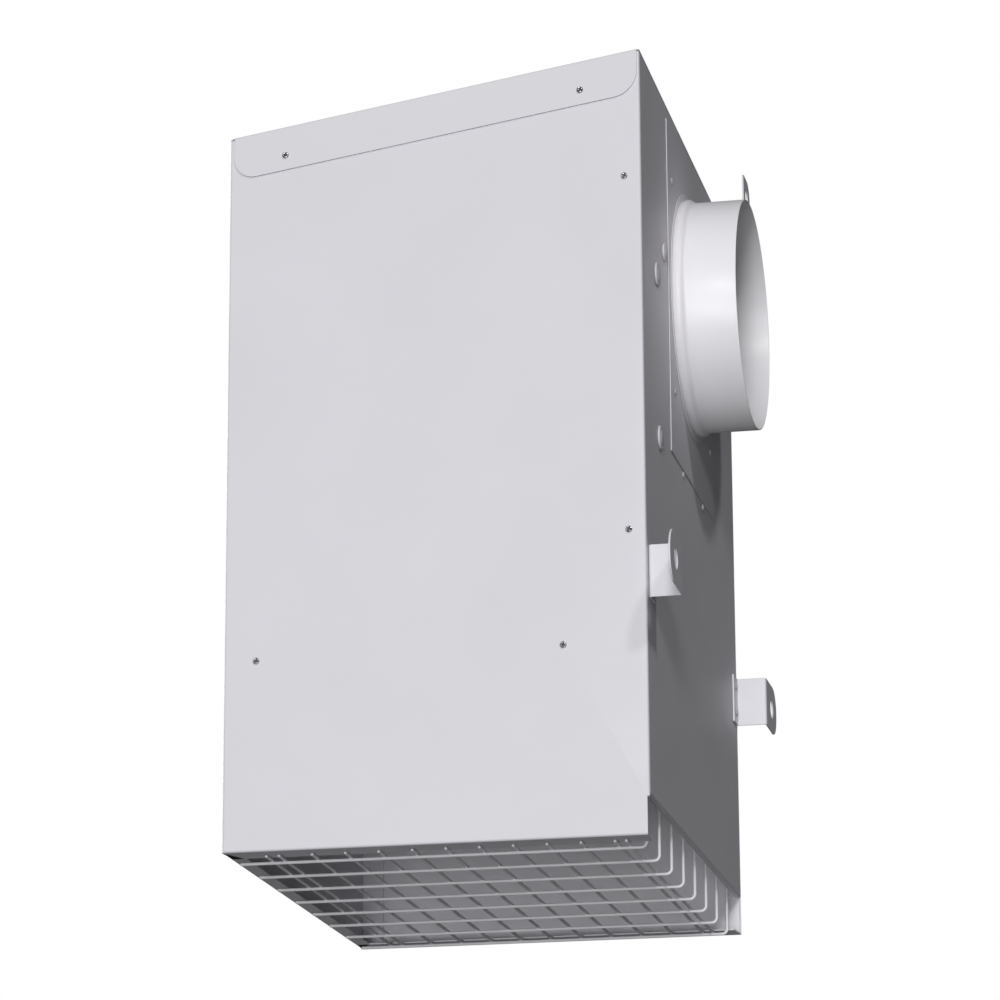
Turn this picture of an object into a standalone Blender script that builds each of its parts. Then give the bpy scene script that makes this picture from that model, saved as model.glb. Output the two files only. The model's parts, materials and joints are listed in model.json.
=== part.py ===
"""Wall-hung heat recovery unit: a sheet-metal casing with one round duct spigot on its wall side, a sloping
rain roof and a wire guard over its open bottom. Inside, a reversing axial fan moves air through a heat
storing core, and a motor-driven damper shuts the duct. Metres, +Z up. The world origin is on the duct's
axis, in the plane of the wall."""

import math

import bmesh
import bpy
from mathutils import Matrix, Vector

# Driving dimensions. The casing frame has its origin at the casing's lower front outer corner: X runs
# from the outer side to the wall, Y from the front panel to the back panel.
WIDTH = 0.347
DEPTH = 0.483
OUTER_HEIGHT = 0.605
WALL_HEIGHT = 0.657
SHEET = 0.0012
GAP = 0.0003
NUDGE = 0.0001  # the step between joined sheets, so that none of their faces coincide
DUCT_RADIUS = 0.100
DUCT_WALL = 0.001
DUCT_Y = 0.2448
DUCT_Z = 0.5003
STAND_OFF = 0.028

# Casing.
WALL_PANEL_BOTTOM = 0.033
FRONT_LIP = 0.028
SIDE_LIP = 0.013
WALL_LIP = 0.0045
EDGE_FLANGE = 0.020
ROOF_FLANGE = 0.038
ROOF_CORNER = 0.019
PLATE_Y = (0.1302, 0.3594)
PLATE_Z = (0.3495, 0.6440)
PLATE_PROUD = SHEET + GAP
SCREW_HOLE = 0.0019
RIVET_REACH = 0.094
CABLE_ENTRIES = {"upper": (0.0700, 0.4840), "lower": (0.0730, 0.3440)}
SENSOR_ENTRY = (0.1090, 0.5160)
CABLE_HOLE = 0.0085
SENSOR_HOLE = 0.0065

# Brackets.
BRACKET_SHEET = 0.0015
BRACKET_WIDTH = 0.043
FRONT_BRACKET_Z = 0.215
BACK_BRACKET_Z = 0.210
BRACKET_INSET = 0.008
BRACKET_REACH = 0.062
BRACKET_HOLE = 0.0088
BRACKET_FLANGE = 0.022
TAB_CORNER = 0.016
TOP_BRACKET_Y = 0.4170
TOP_BRACKET_WIDTH = 0.038
TOP_BRACKET_TIP = 0.6865

# Guard.
WIRE = 0.0030
CROSS_WIRES = 8
CROSS_PITCH = 0.0598
CROSS_FIRST = 0.0300
GUARD_BEND = 0.0045
LONG_WIRES = 11
LONG_PITCH = 0.02724
LONG_FIRST = 0.0444
LONG_EXTRA = (0.0340, 0.3258)
LONG_ENDS = (0.0100, 0.4525)
WIRE_SINK = 0.0006

# Inside.
LINER = 0.012
DECK_Z = 0.164
DECK_FLANGE = 0.018
PARTITION_Y = 0.126
FAN_X, FAN_Y = 0.176, 0.300
FAN_RADIUS = 0.124
HUB_RADIUS = 0.044
BLADES = 7
CASSETTE_Z = 0.262
CORE_HEIGHT = 0.090
FILTER_HEIGHT = 0.024
COLLAR_DEPTH = 0.083
DAMPER_X = 0.300
SHAFT_RADIUS = 0.004

DUCT_CENTRE = (WIDTH, DUCT_Y, DUCT_Z)
WALL_FACE = WIDTH - SHEET
SLOPE = (WALL_HEIGHT - OUTER_HEIGHT) / WIDTH


# Scene, materials and placing.
def clear_scene():
    for obj in list(bpy.data.objects):
        bpy.data.objects.remove(obj, do_unlink=True)


def new_collection(name):
    collection = bpy.data.collections.new(name)
    bpy.context.scene.collection.children.link(collection)
    return collection


def material(name, colour, roughness, metallic=0.0):
    made = bpy.data.materials.new(name)
    made.use_nodes = True
    shader = made.node_tree.nodes["Principled BSDF"]
    shader.inputs["Base Color"].default_value = (*colour, 1.0)
    shader.inputs["Roughness"].default_value = roughness
    shader.inputs["Metallic"].default_value = metallic
    return made


def add_object(name, data, finish, matrix=None):
    obj = bpy.data.objects.new(name, data)
    UNIT.objects.link(obj)
    obj.parent = CASING
    if matrix is not None:
        obj.matrix_basis = matrix
    if finish is not None:
        data.materials.clear()
        data.materials.append(finish)
    return obj


def empty(name, place, parent=None):
    obj = bpy.data.objects.new(name, None)
    obj.empty_display_size = 0.05
    UNIT.objects.link(obj)
    obj.location = place
    obj.parent = parent
    return obj


def facing(direction, place):
    """The matrix of a flat outline: its x and y axes for each way that its front can face, then its place."""
    columns = {
        "x": ((0, 1, 0), (0, 0, 1), (1, 0, 0)),
        "-y": ((1, 0, 0), (0, 0, 1), (0, -1, 0)),
        "z": ((1, 0, 0), (0, 1, 0), (0, 0, 1)),
    }[direction]
    turn = Matrix(columns).transposed().to_4x4()
    return Matrix.Translation(Vector(place)) @ turn


def evaluated_mesh(obj):
    bpy.context.view_layer.update()
    graph = bpy.context.evaluated_depsgraph_get()
    return bpy.data.meshes.new_from_object(obj.evaluated_get(graph), depsgraph=graph)


def weld(mesh):
    editing = bmesh.new()
    editing.from_mesh(mesh)
    bmesh.ops.remove_doubles(editing, verts=editing.verts, dist=1e-6)
    editing.to_mesh(mesh)
    editing.free()


def shade(obj, angle=35):
    obj.data.shade_smooth()
    obj.data.set_sharp_from_angle(angle=math.radians(angle))


# Outlines: closed lists of 2D points.
def rectangle(low, high):
    return [(low[0], low[1]), (high[0], low[1]), (high[0], high[1]), (low[0], high[1])]


def circle(centre, radius, count=24):
    steps = [2 * math.pi * step / count for step in range(count)]
    return [(centre[0] + radius * math.cos(turn), centre[1] + radius * math.sin(turn)) for turn in steps]


def rounded(low, high, radii, count=6):
    """A rectangle with its four corners rounded: lower left, lower right, upper right, upper left."""
    corners = [(low[0], low[1]), (high[0], low[1]), (high[0], high[1]), (low[0], high[1])]
    inward = [(1, 1), (-1, 1), (-1, -1), (1, -1)]
    points = []
    for index, (corner, sign, radius) in enumerate(zip(corners, inward, radii)):
        if radius == 0:
            points.append(corner)
            continue
        centre = (corner[0] + sign[0] * radius, corner[1] + sign[1] * radius)
        start = math.pi + index * math.pi / 2
        for step in range(count + 1):
            turn = start + step * math.pi / 2 / count
            points.append((centre[0] + radius * math.cos(turn), centre[1] + radius * math.sin(turn)))
    return points


# Solids.
def flat(name, outlines, thickness, direction, place, finish=None):
    """A flat sheet: its first outline is the edge, the others are holes. place is where its mid-plane lies."""
    curve = bpy.data.curves.new(name, "CURVE")
    curve.dimensions = "2D"
    curve.fill_mode = "BOTH"
    curve.extrude = thickness / 2
    for outline in outlines:
        spline = curve.splines.new("POLY")
        spline.points.add(len(outline) - 1)
        for point, (x, y) in zip(spline.points, outline):
            point.co = (x, y, 0, 1)
        spline.use_cyclic_u = True
    outline_object = bpy.data.objects.new(name + "_outline", curve)
    UNIT.objects.link(outline_object)
    mesh = evaluated_mesh(outline_object)
    bpy.data.objects.remove(outline_object, do_unlink=True)
    bpy.data.curves.remove(curve)
    weld(mesh)
    mesh.name = name
    return add_object(name, mesh, finish, facing(direction, place))


def slab(name, low, high, finish=None):
    mesh = bpy.data.meshes.new(name)
    editing = bmesh.new()
    bmesh.ops.create_cube(editing, size=1)
    size = [high[axis] - low[axis] for axis in range(3)]
    bmesh.ops.scale(editing, vec=size, verts=editing.verts)
    editing.to_mesh(mesh)
    editing.free()
    centre = [(high[axis] + low[axis]) / 2 for axis in range(3)]
    return add_object(name, mesh, finish, Matrix.Translation(Vector(centre)))


def turned(name, profile, axis, place, finish=None, steps=48):
    """A turned solid. The profile lists (radius, height) down its outer side and back up its inner side."""
    mesh = bpy.data.meshes.new(name)
    points = [(radius, 0, height) for radius, height in profile]
    count = len(points)
    closed = all(radius > 0 for radius, _ in profile)
    edges = [(index, (index + 1) % count) for index in range(count if closed else count - 1)]
    mesh.from_pydata(points, edges, [])
    turn = {"x": Matrix.Rotation(math.pi / 2, 4, "Y"), "y": Matrix.Rotation(-math.pi / 2, 4, "X"),
            "z": Matrix.Identity(4)}[axis]
    obj = add_object(name, mesh, finish, Matrix.Translation(Vector(place)) @ turn)
    screw = obj.modifiers.new("turn", "SCREW")
    screw.angle = 2 * math.pi
    screw.steps = screw.render_steps = steps
    screw.use_merge_vertices = True
    screw.merge_threshold = 1e-6
    screw.use_smooth_shade = True
    return obj


def wire(name, points, diameter, finish=None):
    curve = bpy.data.curves.new(name, "CURVE")
    curve.dimensions = "3D"
    curve.bevel_depth = diameter / 2
    curve.bevel_resolution = 1
    curve.use_fill_caps = True
    spline = curve.splines.new("POLY")
    spline.points.add(len(points) - 1)
    for point, place in zip(spline.points, points):
        point.co = (*place, 1)
    guide = bpy.data.objects.new(name + "_guide", curve)
    UNIT.objects.link(guide)
    mesh = evaluated_mesh(guide)
    bpy.data.objects.remove(guide, do_unlink=True)
    bpy.data.curves.remove(curve)
    weld(mesh)
    return add_object(name, mesh, finish)


def combine(name, base, others, finish, operation="UNION"):
    """Joins other solids to the base, or cuts them from it, and leaves one object with one mesh."""
    for other in others:
        step = base.modifiers.new(operation.lower(), "BOOLEAN")
        step.operation = operation
        step.solver = "EXACT"
        step.object = other
    mesh = evaluated_mesh(base)
    mesh.name = name
    weld(mesh)
    matrix = base.matrix_basis.copy()
    for obj in (base, *others):
        bpy.data.objects.remove(obj, do_unlink=True)
    return add_object(name, mesh, finish, matrix)


def under_roof(x):
    """Height of the roof sheet's underside, less a gap."""
    return OUTER_HEIGHT + SLOPE * x - SHEET - 2 * GAP


# Casing panels.
def screw_places():
    """Heads on the front: name, x, z and whether the screw also holds the roof's flange."""
    roof = [(x, OUTER_HEIGHT + SLOPE * x - 0.0255) for x in (0.048, 0.2975)]
    side = [(WIDTH - 0.0137, 0.547), (WIDTH - 0.0137, 0.248)]
    deck = [(0.027, 0.156), (0.279, 0.156)]
    return [("roof", *place, True) for place in roof] + [
        (kind, *place, False) for kind, places in (("side", side), ("deck", deck)) for place in places
    ]


def front_panel(finish):
    holes = [circle((x, z), SCREW_HOLE, 12) for _, x, z, _ in screw_places()]
    outline = [(0, 0), (WIDTH - 0.002, 0), (WIDTH - 0.002, WALL_PANEL_BOTTOM - 0.002),
               (WIDTH, WALL_PANEL_BOTTOM - 0.002), (WIDTH, under_roof(WIDTH)), (0, under_roof(0))]
    face = flat("front_face", [outline, *holes], SHEET, "-y", (0, SHEET / 2, 0))
    lip = slab("front_lip", (0.002, NUDGE, -NUDGE), (WIDTH - 0.003, FRONT_LIP, SHEET - NUDGE))
    return combine("front_panel", face, [lip], finish)


def back_panel(finish):
    outline = [(0, 0), (WIDTH, 0), (WIDTH, under_roof(WIDTH)), (0, under_roof(0))]
    face = flat("back_face", [outline], SHEET, "-y", (0, DEPTH - SHEET / 2, 0))
    lip = slab("back_lip", (0.002, DEPTH - FRONT_LIP, -NUDGE), (WIDTH - 0.003, DEPTH - NUDGE, SHEET - NUDGE))
    return combine("back_panel", face, [lip], finish)


def side_sheet(name, x_low, x_high, bottom, inward, holes, finish):
    """A side panel between the front and back panels, with flanges turned in along three edges."""
    y_low, y_high = SHEET + GAP, DEPTH - SHEET - GAP
    top = min(under_roof(x_low), under_roof(x_high))
    outline = rectangle((y_low, bottom), (y_high, top))
    face = flat(name + "_face", [outline, *holes], SHEET, "x", ((x_low + x_high) / 2, 0, 0))
    outer = x_low + NUDGE if inward > 0 else x_high - NUDGE
    lip_y = (FRONT_LIP + GAP, DEPTH - FRONT_LIP - GAP) if bottom == 0 else (y_low + NUDGE, y_high - NUDGE)
    across = sorted((outer, outer + inward * (SIDE_LIP if bottom == 0 else WALL_LIP)))
    lip = slab(name + "_lip", (across[0], lip_y[0], bottom - NUDGE), (across[1], lip_y[1], bottom + SHEET - NUDGE))
    edge = sorted((outer, outer + inward * EDGE_FLANGE))
    edge_top = top - EDGE_FLANGE * SLOPE - GAP
    edge_bottom = bottom + SHEET + GAP
    near = y_low + NUDGE
    far = y_high - NUDGE
    front = slab(name + "_front", (edge[0], near, edge_bottom), (edge[1], near + SHEET, edge_top))
    back = slab(name + "_back", (edge[0], far - SHEET, edge_bottom), (edge[1], far, edge_top))
    return face, [lip, front, back]


def outer_panel(finish):
    face, flanges = side_sheet("outer_panel", 0, SHEET, 0, 1, [], finish)
    return combine("outer_panel", face, flanges, finish)


def wall_panel(finish):
    rivets = [circle(place, SCREW_HOLE, 12) for place in (*plate_rivets(), *rail_rivets())]
    cables = [circle(place, CABLE_HOLE) for place in CABLE_ENTRIES.values()]
    holes = [circle((DUCT_Y, DUCT_Z), DUCT_RADIUS + 2 * GAP, 48), *cables,
             circle(SENSOR_ENTRY, SENSOR_HOLE), *rivets, *bracket_rivet_holes()]
    face, flanges = side_sheet("wall_panel", WALL_FACE, WIDTH, WALL_PANEL_BOTTOM, -1, holes, finish)
    cutters = [drill("edge_hole", (WIDTH - 0.0137, 0, z), SCREW_HOLE, 0.01) for z in (0.547, 0.248)]
    joined = combine("wall_panel_joined", face, flanges, finish)
    return combine("wall_panel", joined, cutters, finish, "DIFFERENCE")


def drill(name, place, radius, length):
    """A cutter: a round bar along Y from the place."""
    bar = turned(name, [(0, length), (radius, length), (radius, -length), (0, -length)], "y", place, None, 12)
    mesh = evaluated_mesh(bar)
    matrix = bar.matrix_basis.copy()
    bpy.data.objects.remove(bar, do_unlink=True)
    return add_object(name, mesh, None, matrix)


def roof_panel(finish):
    """The sloping roof, with a flange turned down over the front and the back."""
    reach = SHEET + GAP
    top = [(0, OUTER_HEIGHT - SHEET), (WIDTH, WALL_HEIGHT - SHEET), (WIDTH, WALL_HEIGHT), (0, OUTER_HEIGHT)]
    sheet = flat("roof_sheet", [top], DEPTH + 2 * (reach - NUDGE), "-y", (0, DEPTH / 2, 0))
    holes = [circle((x, z), SCREW_HOLE, 12) for kind, x, z, on_roof in screw_places() if on_roof]
    front = flat("roof_front", [flange_outline(), *holes], SHEET, "-y", (0, -GAP - SHEET / 2, 0))
    back = flat("roof_back", [flange_outline()], SHEET, "-y", (0, DEPTH + GAP + SHEET / 2, 0))
    return combine("roof_panel", sheet, [front, back], finish)


def flange_outline():
    """The flange follows the roof's slope. Its lower corners are rounded by arcs."""
    left, right = 0.004, WIDTH - 0.002
    points = []
    for step in range(9):
        turn = math.pi + step * math.pi / 16
        x = left + ROOF_CORNER + ROOF_CORNER * math.cos(turn)
        points.append((x, x * SLOPE + OUTER_HEIGHT - ROOF_FLANGE + ROOF_CORNER * (1 + math.sin(turn))))
    for step in range(9):
        turn = 3 * math.pi / 2 + step * math.pi / 16
        x = right - ROOF_CORNER + ROOF_CORNER * math.cos(turn)
        points.append((x, x * SLOPE + OUTER_HEIGHT - ROOF_FLANGE + ROOF_CORNER * (1 + math.sin(turn))))
    points.append((right, OUTER_HEIGHT + SLOPE * right - SHEET / 4))
    points.append((left, OUTER_HEIGHT + SLOPE * left - SHEET / 4))
    return points


# Duct connection.
def plate_rivets():
    return [(DUCT_Y + side * RIVET_REACH, DUCT_Z + up * RIVET_REACH) for side in (-1, 1) for up in (-1, 1)]


def rail_rivets():
    return [(DUCT_Y + side * 0.053, 0.3450) for side in (-1, 1)]


def spigot_plate(finish):
    holes = [circle(place, SCREW_HOLE, 12) for place in plate_rivets()]
    outline = rectangle((PLATE_Y[0], PLATE_Z[0]), (PLATE_Y[1], PLATE_Z[1]))
    bore = circle((DUCT_Y, DUCT_Z), DUCT_RADIUS - DUCT_WALL, 48)
    middle = WIDTH + GAP + SHEET / 2
    return flat("spigot_plate", [outline, bore, *holes], SHEET, "x", (middle, 0, 0), finish)


def duct_spigot(finish):
    """A tube with a rolled base that flares out onto the plate."""
    start = PLATE_PROUD + GAP
    end = 0.0555
    flare = 0.008
    base = [(DUCT_RADIUS + flare * (1 - math.sin(turn)), start + flare * (1 - math.cos(turn)))
            for turn in (math.pi / 2 * step / 4 for step in range(4, -1, -1))]
    inner = DUCT_RADIUS - DUCT_WALL
    profile = [(DUCT_RADIUS, end), *base, (inner, start), (inner, end)]
    return turned("duct_spigot", profile, "x", DUCT_CENTRE, finish, 72)


def inner_collar(finish):
    """The duct's inner half. Its flange lies behind the wall panel, and the damper's shaft crosses it."""
    face = -SHEET - GAP
    flange = DUCT_RADIUS + 0.016
    inner = DUCT_RADIUS - DUCT_WALL
    profile = [(flange, face), (flange, face - SHEET), (DUCT_RADIUS, face - SHEET),
               (DUCT_RADIUS, face - COLLAR_DEPTH), (inner, face - COLLAR_DEPTH), (inner, face)]
    tube = turned("collar_tube", profile, "x", DUCT_CENTRE, finish, 48)
    hole = drill("shaft_hole", (DAMPER_X, DUCT_Y, DUCT_Z), 0.007, DUCT_RADIUS + 0.01)
    return combine("inner_collar", tube, [hole], finish, "DIFFERENCE")


# Wall brackets: a flange on the wall panel, a web standing out, and a tab with a hole in the wall's plane.
def bracket_rivet_holes():
    spots = []
    for web, along, height in ((BRACKET_INSET, 1, FRONT_BRACKET_Z), (DEPTH - BRACKET_INSET, -1, BACK_BRACKET_Z)):
        middle = web + along * (BRACKET_FLANGE + BRACKET_SHEET) / 2
        spots += [(middle, height + up * 0.012) for up in (-1, 1)]
    web_z = TOP_BRACKET_TIP - BRACKET_REACH
    spots += [(TOP_BRACKET_Y + side * 0.010, web_z - (BRACKET_FLANGE + BRACKET_SHEET) / 2) for side in (-1, 1)]
    return [circle(spot, SCREW_HOLE, 12) for spot in spots]


def side_bracket(name, web_y, along, height, finish):
    """along is +1 where the tab points to the front, and -1 where it points to the back."""
    x_low, x_high = WIDTH + GAP, WIDTH + STAND_OFF
    z_low, z_high = height - BRACKET_WIDTH / 2, height + BRACKET_WIDTH / 2
    flange_y = sorted((web_y, web_y + along * BRACKET_FLANGE))
    middle = web_y + along * (BRACKET_FLANGE + BRACKET_SHEET) / 2
    rivets = [circle((middle, height + up * 0.012), SCREW_HOLE, 12) for up in (-1, 1)]
    outline = rectangle((flange_y[0], z_low), (flange_y[1], z_high))
    flange = flat(name + "_flange", [outline, *rivets], BRACKET_SHEET, "x", (x_low + BRACKET_SHEET / 2, 0, 0))
    web_face = web_y - along * NUDGE
    web_side = sorted((web_face, web_face + along * BRACKET_SHEET))
    web_low = (x_low + NUDGE, web_side[0], z_low + NUDGE)
    web = slab(name + "_web", web_low, (x_high - NUDGE, web_side[1], z_high - NUDGE))
    end = web_y + along * BRACKET_SHEET / 2
    tab_y = sorted((end, web_y - along * BRACKET_REACH))
    corners = (TAB_CORNER, 0, 0, TAB_CORNER) if along > 0 else (0, TAB_CORNER, TAB_CORNER, 0)
    tab_outline = rounded((tab_y[0], z_low + 2 * NUDGE), (tab_y[1], z_high - 2 * NUDGE), corners)
    hole = circle((web_y - along * 0.033, height), BRACKET_HOLE, 24)
    tab = flat(name + "_tab", [tab_outline, hole], BRACKET_SHEET, "x", (x_high - BRACKET_SHEET / 2, 0, 0))
    return combine(name, flange, [web, tab], finish)


def top_bracket(name, finish):
    """The same bracket turned a quarter, with its tab standing up past the roof."""
    x_low, x_high = WIDTH + GAP, WIDTH + STAND_OFF
    y_low, y_high = TOP_BRACKET_Y - TOP_BRACKET_WIDTH / 2, TOP_BRACKET_Y + TOP_BRACKET_WIDTH / 2
    web_z = TOP_BRACKET_TIP - BRACKET_REACH
    drop = web_z - (BRACKET_FLANGE + BRACKET_SHEET) / 2
    rivets = [circle((TOP_BRACKET_Y + side * 0.010, drop), SCREW_HOLE, 12) for side in (-1, 1)]
    outline = rectangle((y_low, web_z - BRACKET_FLANGE), (y_high, web_z))
    flange = flat(name + "_flange", [outline, *rivets], BRACKET_SHEET, "x", (x_low + BRACKET_SHEET / 2, 0, 0))
    web_low = (x_low + NUDGE, y_low + NUDGE, web_z + NUDGE - BRACKET_SHEET)
    web = slab(name + "_web", web_low, (x_high - NUDGE, y_high - NUDGE, web_z + NUDGE))
    tab_low = (y_low + 2 * NUDGE, web_z - BRACKET_SHEET / 2)
    tab_outline = rounded(tab_low, (y_high - 2 * NUDGE, TOP_BRACKET_TIP), (0, 0, TAB_CORNER, 0.004))
    hole = circle((TOP_BRACKET_Y, TOP_BRACKET_TIP - 0.017), BRACKET_HOLE - 0.001, 24)
    tab = flat(name + "_tab", [tab_outline, hole], BRACKET_SHEET, "x", (x_high - BRACKET_SHEET / 2, 0, 0))
    return combine(name, flange, [web, tab], finish)


# Guard.
def wire_guard(finish):
    """Long wires lie under the panels' lips. Cross wires lie under them and turn up inside the wall panel."""
    long_z = -GAP - WIRE / 2
    cross_z = long_z - WIRE + WIRE_SINK
    leg_x = WIDTH - 0.0080
    leg_top = WALL_PANEL_BOTTOM + 0.004
    places = [LONG_FIRST + LONG_PITCH * index for index in range(LONG_WIRES)] + list(LONG_EXTRA)
    rods = [wire(f"long_{index}", [(x, LONG_ENDS[0], long_z), (x, LONG_ENDS[1], long_z)], WIRE)
            for index, x in enumerate(places)]
    bend = [(leg_x - GUARD_BEND + GUARD_BEND * math.sin(turn), cross_z + GUARD_BEND * (1 - math.cos(turn)))
            for turn in (math.pi / 2 * step / 4 for step in range(5))]
    for index in range(CROSS_WIRES):
        y = CROSS_FIRST + CROSS_PITCH * index
        path = [(0.0035, y, cross_z), *((x, y, z) for x, z in bend), (leg_x, y, leg_top)]
        rods.append(wire(f"cross_{index}", path, WIRE))
    return combine("wire_guard", rods[0], rods[1:], finish)


# Fasteners.
def fastener(name, head, shank, length, axis, place, finish):
    """A domed head standing on the surface at place, and its shank behind. Height runs along the axis."""
    low = GAP
    profile = [(0, low + 0.0013), (head * 0.7, low + 0.0010), (head, low),
               (shank, low), (shank, low - length), (0, low - length)]
    return turned(name, profile, axis, place, finish, 12)


def screws(finish):
    counts = {}
    for kind, x, z, on_roof in screw_places():
        counts[kind] = counts.get(kind, 0) + 1
        y = -SHEET - GAP if on_roof else 0
        obj = fastener(f"{kind}_screw_{counts[kind]}", 0.0028, 0.0014, 0.008, "y", (0, 0, 0), finish)
        obj.matrix_basis = Matrix.Translation(Vector((x, y, z))) @ Matrix.Rotation(math.pi / 2, 4, "X")


def rivets(finish):
    plate_face = WIDTH + PLATE_PROUD
    bracket_face = WIDTH + GAP + BRACKET_SHEET
    for index, (y, z) in enumerate(plate_rivets(), 1):
        fastener(f"plate_rivet_{index}", 0.0032, 0.0014, 0.006, "x", (plate_face, y, z), finish)
    for index, (y, z) in enumerate(rail_rivets(), 1):
        fastener(f"rail_rivet_{index}", 0.0028, 0.0014, 0.004, "x", (WIDTH, y, z), finish)
    spots = [sum(p[0] for p in ring) / len(ring) for ring in bracket_rivet_holes()]
    heights = [sum(p[1] for p in ring) / len(ring) for ring in bracket_rivet_holes()]
    for index, (y, z) in enumerate(zip(spots, heights), 1):
        fastener(f"bracket_rivet_{index}", 0.0030, 0.0014, 0.006, "x", (bracket_face, y, z), finish)


def cable_plugs(finish):
    """Blind grommets: a dome outside the wall panel and a neck through its hole."""
    for where, (y, z) in (*CABLE_ENTRIES.items(), ("sensor", SENSOR_ENTRY)):
        radius = SENSOR_HOLE if where == "sensor" else CABLE_HOLE
        cap = radius + 0.0015
        name = "sensor_grommet" if where == "sensor" else f"cable_grommet_{where}"
        dome = [(cap * math.sin(turn), GAP + 0.0008 + 0.0045 * math.cos(turn))
                for turn in (math.pi / 2 * step / 3 for step in range(4))]
        neck = radius - GAP
        profile = [*dome, (cap, GAP), (neck, GAP), (neck, -SHEET - 0.0015), (0, -SHEET - 0.0015)]
        profile[0] = (0, profile[0][1])
        turned(name, profile, "x", (WIDTH, y, z), finish, 20)


# Inside: liners, deck, partition.
def liners(finish):
    low = DECK_Z + SHEET + GAP
    edge = 2 * SHEET + 2 * GAP
    x_in = SHEET + GAP
    top = under_roof(0) - LINER - 0.006
    slab("liner_outer", (x_in, PARTITION_Y + SHEET + GAP, low), (x_in + LINER, DEPTH - edge - GAP, top), finish)
    back_y = DEPTH - edge - GAP - LINER
    slab("liner_back", (x_in + LINER + GAP, back_y, low), (WALL_FACE - 2 * GAP, DEPTH - edge - GAP, top), finish)
    left, right = x_in, WALL_FACE - GAP
    skin = 2 * GAP
    outline = [(left, under_roof(left) - LINER), (right, under_roof(right) - LINER),
               (right, under_roof(right) - skin), (left, under_roof(left) - skin)]
    y_low, y_high = edge + GAP, DEPTH - edge - GAP
    flat("liner_roof", [outline], y_high - y_low, "-y", (0, (y_low + y_high) / 2, 0), finish)


def fan_deck(finish):
    """The shelf that carries the fan. Its front and back flanges turn down, and the deck screws hold it."""
    inset = 2 * SHEET + 2 * GAP
    low = (SHEET + GAP, inset)
    high = (WALL_FACE - GAP, DEPTH - inset)
    hole = circle((FAN_X, FAN_Y), FAN_RADIUS + 0.003, 48)
    sheet = flat("deck_sheet", [rectangle(low, high), hole], SHEET, "z", (0, 0, DECK_Z + SHEET / 2))
    z_low, z_high = DECK_Z - DECK_FLANGE, DECK_Z + SHEET - NUDGE
    holes = [circle((x, z), SCREW_HOLE, 12) for kind, x, z, _ in screw_places() if kind == "deck"]
    skirt = rectangle((low[0] + NUDGE, z_low), (high[0] - NUDGE, z_high))
    front = flat("deck_front", [skirt, *holes], SHEET, "-y", (0, inset + SHEET / 2 + NUDGE, 0))
    back = flat("deck_back", [skirt], SHEET, "-y", (0, DEPTH - inset - SHEET / 2 - NUDGE, 0))
    return combine("fan_deck", sheet, [front, back], finish)


def partition(finish):
    """The sheet between the air path and the wiring space at the front."""
    left, right = SHEET + GAP, WALL_FACE - GAP
    low = DECK_Z + SHEET + GAP
    top = under_roof(0) - LINER - 0.006
    slab("partition", (left, PARTITION_Y, low), (right, PARTITION_Y + SHEET, top), finish)


# Inside: fan.
def fan_ring(finish):
    low = DECK_Z + SHEET + GAP
    inner, outer = FAN_RADIUS, FAN_RADIUS + 0.002
    mouth = [(outer + 0.006 * (1 - math.cos(turn)), low + 0.045 + 0.006 * math.sin(turn))
             for turn in (math.pi / 2 * step / 2 for step in range(2, -1, -1))]
    lining = [(inner + 0.006 * (1 - math.cos(turn)), low + 0.047 + 0.006 * math.sin(turn))
              for turn in (math.pi / 2 * step / 2 for step in range(3))]
    flange = outer + 0.014
    profile = [*mouth, (outer, low + 0.002), (flange, low + 0.002), (flange, low), (inner, low), *lining]
    return turned("fan_ring", profile, "z", (FAN_X, FAN_Y, 0), finish, 48)


def fan_impeller(finish, pivot):
    """Seven flat pitched blades on a hub, all one moulding."""
    low, high = 0.176, 0.208
    bore = SHAFT_RADIUS + GAP
    profile = [(bore, high), (HUB_RADIUS - 0.003, high), (HUB_RADIUS, high - 0.003), (HUB_RADIUS, low), (bore, low)]
    hub = turned("hub", profile, "z", (FAN_X, FAN_Y, 0), None, 42)
    reach = FAN_RADIUS - 0.004
    blades = []
    for index in range(BLADES):
        start = HUB_RADIUS - 0.003
        blade = slab(f"blade_{index}", (start, -0.026, -0.0012), (reach - 0.004, 0.026, 0.0012))
        spin = Matrix.Rotation(2 * math.pi * index / BLADES, 4, "Z")
        pitch = Matrix.Rotation(math.radians(28), 4, "X")
        centre = Matrix.Translation(Vector((FAN_X, FAN_Y, (low + high) / 2)))
        blade.matrix_basis = centre @ spin @ pitch @ blade.matrix_basis
        blades.append(blade)
    impeller = combine("fan_impeller", hub, blades, finish)
    shade(impeller)
    hang_on(impeller, pivot)
    return impeller


def fan_shaft(finish, pivot):
    profile = [(0, 0.230), (SHAFT_RADIUS, 0.230), (SHAFT_RADIUS, 0.178), (0, 0.178)]
    shaft = turned("fan_shaft", profile, "z", (FAN_X, FAN_Y, 0), finish, 24)
    hang_on(shaft, pivot)


def fan_motor(finish):
    low, high, radius = 0.2095, 0.2400, 0.040
    bore = SHAFT_RADIUS + GAP
    profile = [(0, high), (radius - 0.002, high), (radius, high - 0.002), (radius, low + 0.002),
               (radius - 0.002, low), (bore, low), (bore, 0.231), (0, 0.231)]
    return turned("fan_motor", profile, "z", (FAN_X, FAN_Y, 0), finish, 32)


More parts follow.
